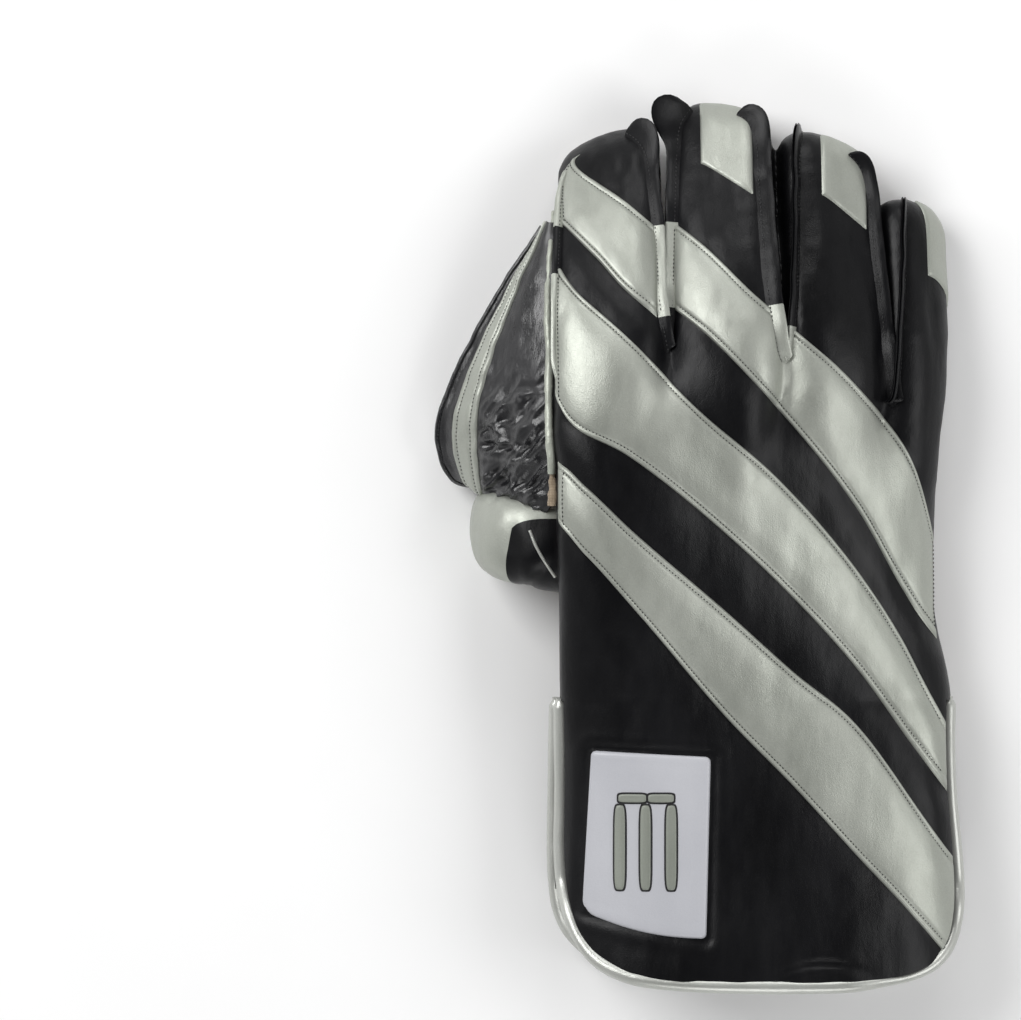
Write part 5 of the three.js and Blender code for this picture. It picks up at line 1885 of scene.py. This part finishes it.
@dataclass
class Badge(Workshop):
    """The blank badge with three stumps and two bails."""

    def plan(self, s: Array, t: Array) -> Array:
        """Places in plan, s across and t up, with the lower left corner rounded off.

        Args:
            s: share of the way across.
            t: share of the way up.
        Returns:
            A place for each pair.
        """
        a, b, c, d = BADGE_CORNERS
        s_, t_ = s[..., None], t[..., None]
        flat = (a * (1 - s_) + b * s_) * (1 - t_) + (d * (1 - s_) + c * s_) * t_
        sag = 2.6 * np.sin(math.pi * s) * (1 - t) ** 2
        flat[..., 1] -= sag
        for across, up, radius in ((s, t, 5.0), (1 - s, t, 2.2), (s, 1 - t, 2.2), (1 - s, 1 - t, 2.2)):
            a = np.maximum(radius - across * BADGE_SIZE[0], 0)
            b = np.maximum(radius - up * BADGE_SIZE[1], 0)
            pull = 1 - np.maximum(a, b) / np.maximum(np.hypot(a, b), 1e-9)
            flat[..., 0] += a * pull * np.where(b > 0, 1, 0) * (1 if across is s else -1)
            flat[..., 1] += b * pull * np.where(a > 0, 1, 0) * (1 if up is t else -1)
        return flat

    def smooth_drop(self, x: float, y: float) -> tuple[Array, Array]:
        """The cuff's even surface under a place, without its pressed frame.

        Args:
            x: place across.
            y: place along.
        Returns:
            The point and its normal.
        """
        total, normal = np.zeros(3), np.zeros(3)
        for dx, dy in ((0, 0), (5, 0), (-5, 0), (0, 5), (0, -5)):
            hit, n = self.skin.drop(x + dx, y + dy)
            total += hit - (dx, dy, 0)
            normal += n
        return total / 5, unit(normal)

    def build(self) -> None:
        """Makes the badge and its emblem."""
        edge = np.array([0.0, 0.004, 0.012, 0.024, 0.045])
        s = np.concatenate([edge, np.linspace(0.08, 0.92, 22), 1 - edge[::-1]])
        t = np.concatenate([edge, np.linspace(0.07, 0.93, 30), 1 - edge[::-1]])
        tt, ss = np.meshgrid(t, s, indexing="ij")
        rim = np.minimum(np.minimum(ss, 1 - ss) * BADGE_SIZE[0], np.minimum(tt, 1 - tt) * BADGE_SIZE[1])
        height = np.interp(rim, [0, 0.2, 0.6, 1.2, 2.2, 6.0], [-1.6, 0.3, 0.9, 1.2, 1.25, 1.35])
        dropped = [self.smooth_drop(x, y) for x, y in self.plan(ss, tt).reshape(-1, 2)]
        points = np.array([hit + normal * rise for (hit, normal), rise in zip(dropped, height.ravel())])
        surface = Surface(points, grid_faces(len(t), len(s))).facing(UP)
        self.frame.make("badge_leather", surface.points, surface.faces, [self.finishes.badge], "badge",
                        ["badge"])
        cx, cy = EMBLEM_MIDDLE[0] + 3.0, EMBLEM_MIDDLE[1] + 8.0
        bars = [(cx + dx, cy, 4.0, 32.0) for dx in (-9.5, 0.0, 9.5)]
        bails = [(cx - 4.9, cy + 18.6, 10.4, 3.2), (cx + 5.7, cy + 18.6, 9.6, 3.2)]
        shapes: list[Triangles] = []
        rims: list[Triangles] = []
        for x, y, wide, long in bars + bails:
            for grow, low, high, into in ((0.75, 1.2, 1.55, rims), (0.0, 1.35, 2.1, shapes)):
                into.append(self.bar(x, y, wide / 2 + grow, long / 2 + grow, low, high))
        for name, parts, finish, slot, nodes in (
            ("emblem_outline", rims, self.finishes.thread, "emblem", []),
            ("emblem_stumps", shapes, self.finishes.emblem, "emblem", ["badge_emblem"]),
        ):
            self.frame.make(name, *joined_parts(parts), [finish], slot, nodes)

    def bar(self, x: float, y: float, wide: float, long: float, low: float, high: float) -> Triangles:
        """A raised bar with rounded ends and edges.

        Args:
            x: its middle across.
            y: its middle along.
            wide: half its width.
            long: half its length.
            low: height of its foot.
            high: height of its top.
        Returns:
            Points and faces.
        """
        across, over = squarish(turns(40), 5.0)
        rings = []
        for share, height in ((1.0, low - 1.2), (0.99, low), (0.94, high - 0.12), (0.8, high), (0.4, high)):
            inset = min(wide, long) * (1 - share)
            px, py = x + across * (wide - inset), y + over * (long - inset)
            ring = [self.smooth_drop(a, b) for a, b in zip(px, py)]
            rings.append([hit + normal * height for hit, normal in ring])
        points, faces = closed_tube(np.array(rings))
        outward = Surface(points, faces).normals[-1, 2]
        return points, faces if outward > 0 else faces[:, ::-1]


@dataclass(frozen=True)
class TipPatch:
    """A silver patch at the end of a finger."""

    finger: FingerForm
    left: float  # x of its left side
    right: float  # x of its right side, or its turn round the finger where it wraps
    low_left: float
    low_right: float
    wraps: bool = False
    rows: int = 54
    columns: int = 30

    def build(self, work: Workshop) -> None:
        """Makes the patch on the skin, following its finger over the end.

        Args:
            work: what it is made in.
        """
        c = np.linspace(0, 1, self.columns)[None, :]
        r = np.linspace(0, 1, self.rows)[:, None]
        low = self.low_left + (self.low_right - self.low_left) * c**1.3 - 0.8 * np.sin(math.pi * c)
        finger = self.finger
        if self.wraps:
            end = np.full_like(c, finger.tip_y - 0.6)
        else:
            x = self.left + (self.right - self.left) * c
            centre, wide, _ = finger.station(np.full_like(c, finger.tip_y - 8))
            open_ = np.clip(np.abs(x - centre[..., 0]) / wide, 0, 0.999)
            end = finger.tip_y - 0.9 - finger.rounding * (1 - rounded_off(open_))
            end = end + finger.slant * (x - centre[..., 0]) / wide
        y = low + (end - low) * (1 - (1 - r) ** 1.4)
        if self.wraps:
            turn = math.pi * (self.left + (self.right - self.left) * c) + 0 * r
            aim = finger.on_skin(turn, y).reshape(-1, 3)
            found = [work.skin.nearest(point) for point in aim]
        else:
            found = [work.skin.drop(a, b) for a, b in zip(np.broadcast_to(x, y.shape).ravel(), y.ravel())]
        rim = np.minimum(np.minimum(c, 1 - c) * 18, r * 30) + 0 * r
        height = np.interp(rim.ravel(), [0, 0.25, 0.7, 1.6], [-0.2, 0.5, 0.75, 0.85])
        placed = np.array([hit + normal * rise for (hit, normal), rise in zip(found, height)])
        surface = Surface(placed, grid_faces(self.rows, self.columns)).facing(UP)
        work.frame.make(f"tip_silver_{finger.name}", placed, surface.faces, [work.finishes.silver],
                        "silver_leather", [f"tip_patch_{finger.name}"])


TIP_PATCHES = (
    TipPatch(FINGERS[1], -21.6, -1.6, 315.0, 302.5),
    TipPatch(FINGERS[2], 24.4, 42.0, 303.0, 289.5),
    TipPatch(FINGERS[3], 0.53, 0.14, 272.5, 259.5, wraps=True),
)


@dataclass(frozen=True)
class Studio:
    """The pale floor, the lights and the camera."""

    pixel: float = 0.38  # millimetres of the glove across one pixel
    width: int = 1021  # pixels
    middle: tuple[float, float] = (-93.86, 183.3)  # in the middle of the picture, in the part's millimetres
    distance: float = 2.3  # from the floor to the camera, in metres
    sharp_at: float = 0.035  # height at which the scale holds, in metres
    sensor: float = 36.0
    half_floor: float = 6.0
    floor_height: float = -0.0004
    LAMPS = (  # name, place, size and power
        ("key", (-1.0, 0.7, 1.2), 1.0, 21.0),
        ("fill", (1.2, -0.1, 1.1), 0.9, 9.0),
        ("front", (0.1, -1.3, 0.9), 0.8, 6.0),
        ("back", (0.2, 1.4, 0.8), 0.7, 6.5),
    )

    def surroundings(self) -> None:
        """Lights the glove from low down all round, and leaves the ceiling dark."""
        world = bpy.data.worlds.new("studio")
        world.use_nodes = True
        tree = world.node_tree
        place = tree.nodes.new("ShaderNodeTexCoord")
        split = tree.nodes.new("ShaderNodeSeparateXYZ")
        ramp = tree.nodes.new("ShaderNodeValToRGB")
        for element, height, grey in zip(ramp.color_ramp.elements, (0.35, 0.9), (1.0, 0.1)):
            element.position = height
            element.color = (grey, grey, grey, 1.0)
        tree.links.new(place.outputs["Generated"], split.inputs[0])
        tree.links.new(split.outputs["Z"], ramp.inputs["Fac"])
        tree.links.new(ramp.outputs["Color"], tree.nodes["Background"].inputs["Color"])
        tree.nodes["Background"].inputs["Strength"].default_value = 0.55
        bpy.context.scene.world = world
        bpy.context.scene.view_settings.view_transform = "Standard"

    def build(self, frame: Frame) -> None:
        """Sets up the floor, the lights, the surroundings and the camera.

        Args:
            frame: where the camera's place is worked out.
        """
        corners = [(x * self.half_floor, y * self.half_floor, self.floor_height)
                   for x, y in ((-1, -1), (1, -1), (1, 1), (-1, 1))]
        mesh = bpy.data.meshes.new("floor")
        mesh.from_pydata(corners, [], [(0, 1, 2, 3)])
        floor = shown("floor", mesh)
        nodes = Nodes("pale_floor")
        soft = nodes.noise(0.02, 2.0)
        colour = nodes.colours(soft, (0.3, (0.872, 0.872, 0.872)), (0.7, (0.882, 0.882, 0.882)))
        rough = nodes.ramp(soft, 0.3, 0.7, 0.8, 0.9)
        mesh.materials.append(nodes.finish(colour, rough, nodes.bump(soft, 0.004)))
        self.surroundings()
        for name, place, extent, power in self.LAMPS:
            light = bpy.data.lights.new(name, "AREA")
            light.energy, light.size = power, extent
            lamp = shown(name, light)
            lamp.location = place
            lamp.rotation_euler = (-Vector(place)).to_track_quat("-Z", "Y").to_euler()
        camera = bpy.data.cameras.new("camera")
        reach = self.width * self.pixel * MM
        camera.sensor_width = self.sensor
        camera.lens = self.sensor * (self.distance - self.sharp_at) / reach
        eye = shown("camera", camera)
        place = (np.array([*self.middle, 0.0]) + frame.shift) * MM
        eye.location = (place[0], place[1], self.distance)
        eye.rotation_euler = (0.0, 0.0, 0.0)
        bpy.context.scene.camera = eye


def main() -> None:
    """Builds the glove piece by piece."""
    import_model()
    frame = Frame()
    finishes = Finishes()
    skin = Skin()
    black, grey = Stitching(), Stitching()
    kit = (frame, skin, finishes, black, grey)
    Panels(*kit).build()
    Bindings(*kit).build()
    notches = [notch_outline(seam.path) for seam in SEAMS]
    for name, rows in BAND_ROWS.items():
        band = Band(f"silver_band_{name}", rows, (name != "upper", name != "index"))
        band.build(Workshop(*kit), notches, f"stripe_{name}")
    for seam in (*SEAMS, OUTER_SEAM):
        seam.build(Workshop(*kit))
    for patch in TIP_PATCHES:
        patch.build(Workshop(*kit))
    Badge(*kit).build()
    Web(*kit).build()
    Thumb(*kit).build()
    black.make(frame, "black_stitches", finishes.thread, "black_leather")
    grey.make(frame, "grey_stitches", finishes.grey_thread, "silver_leather")
    Studio().build(frame)


if __name__ == "__main__":
    main()
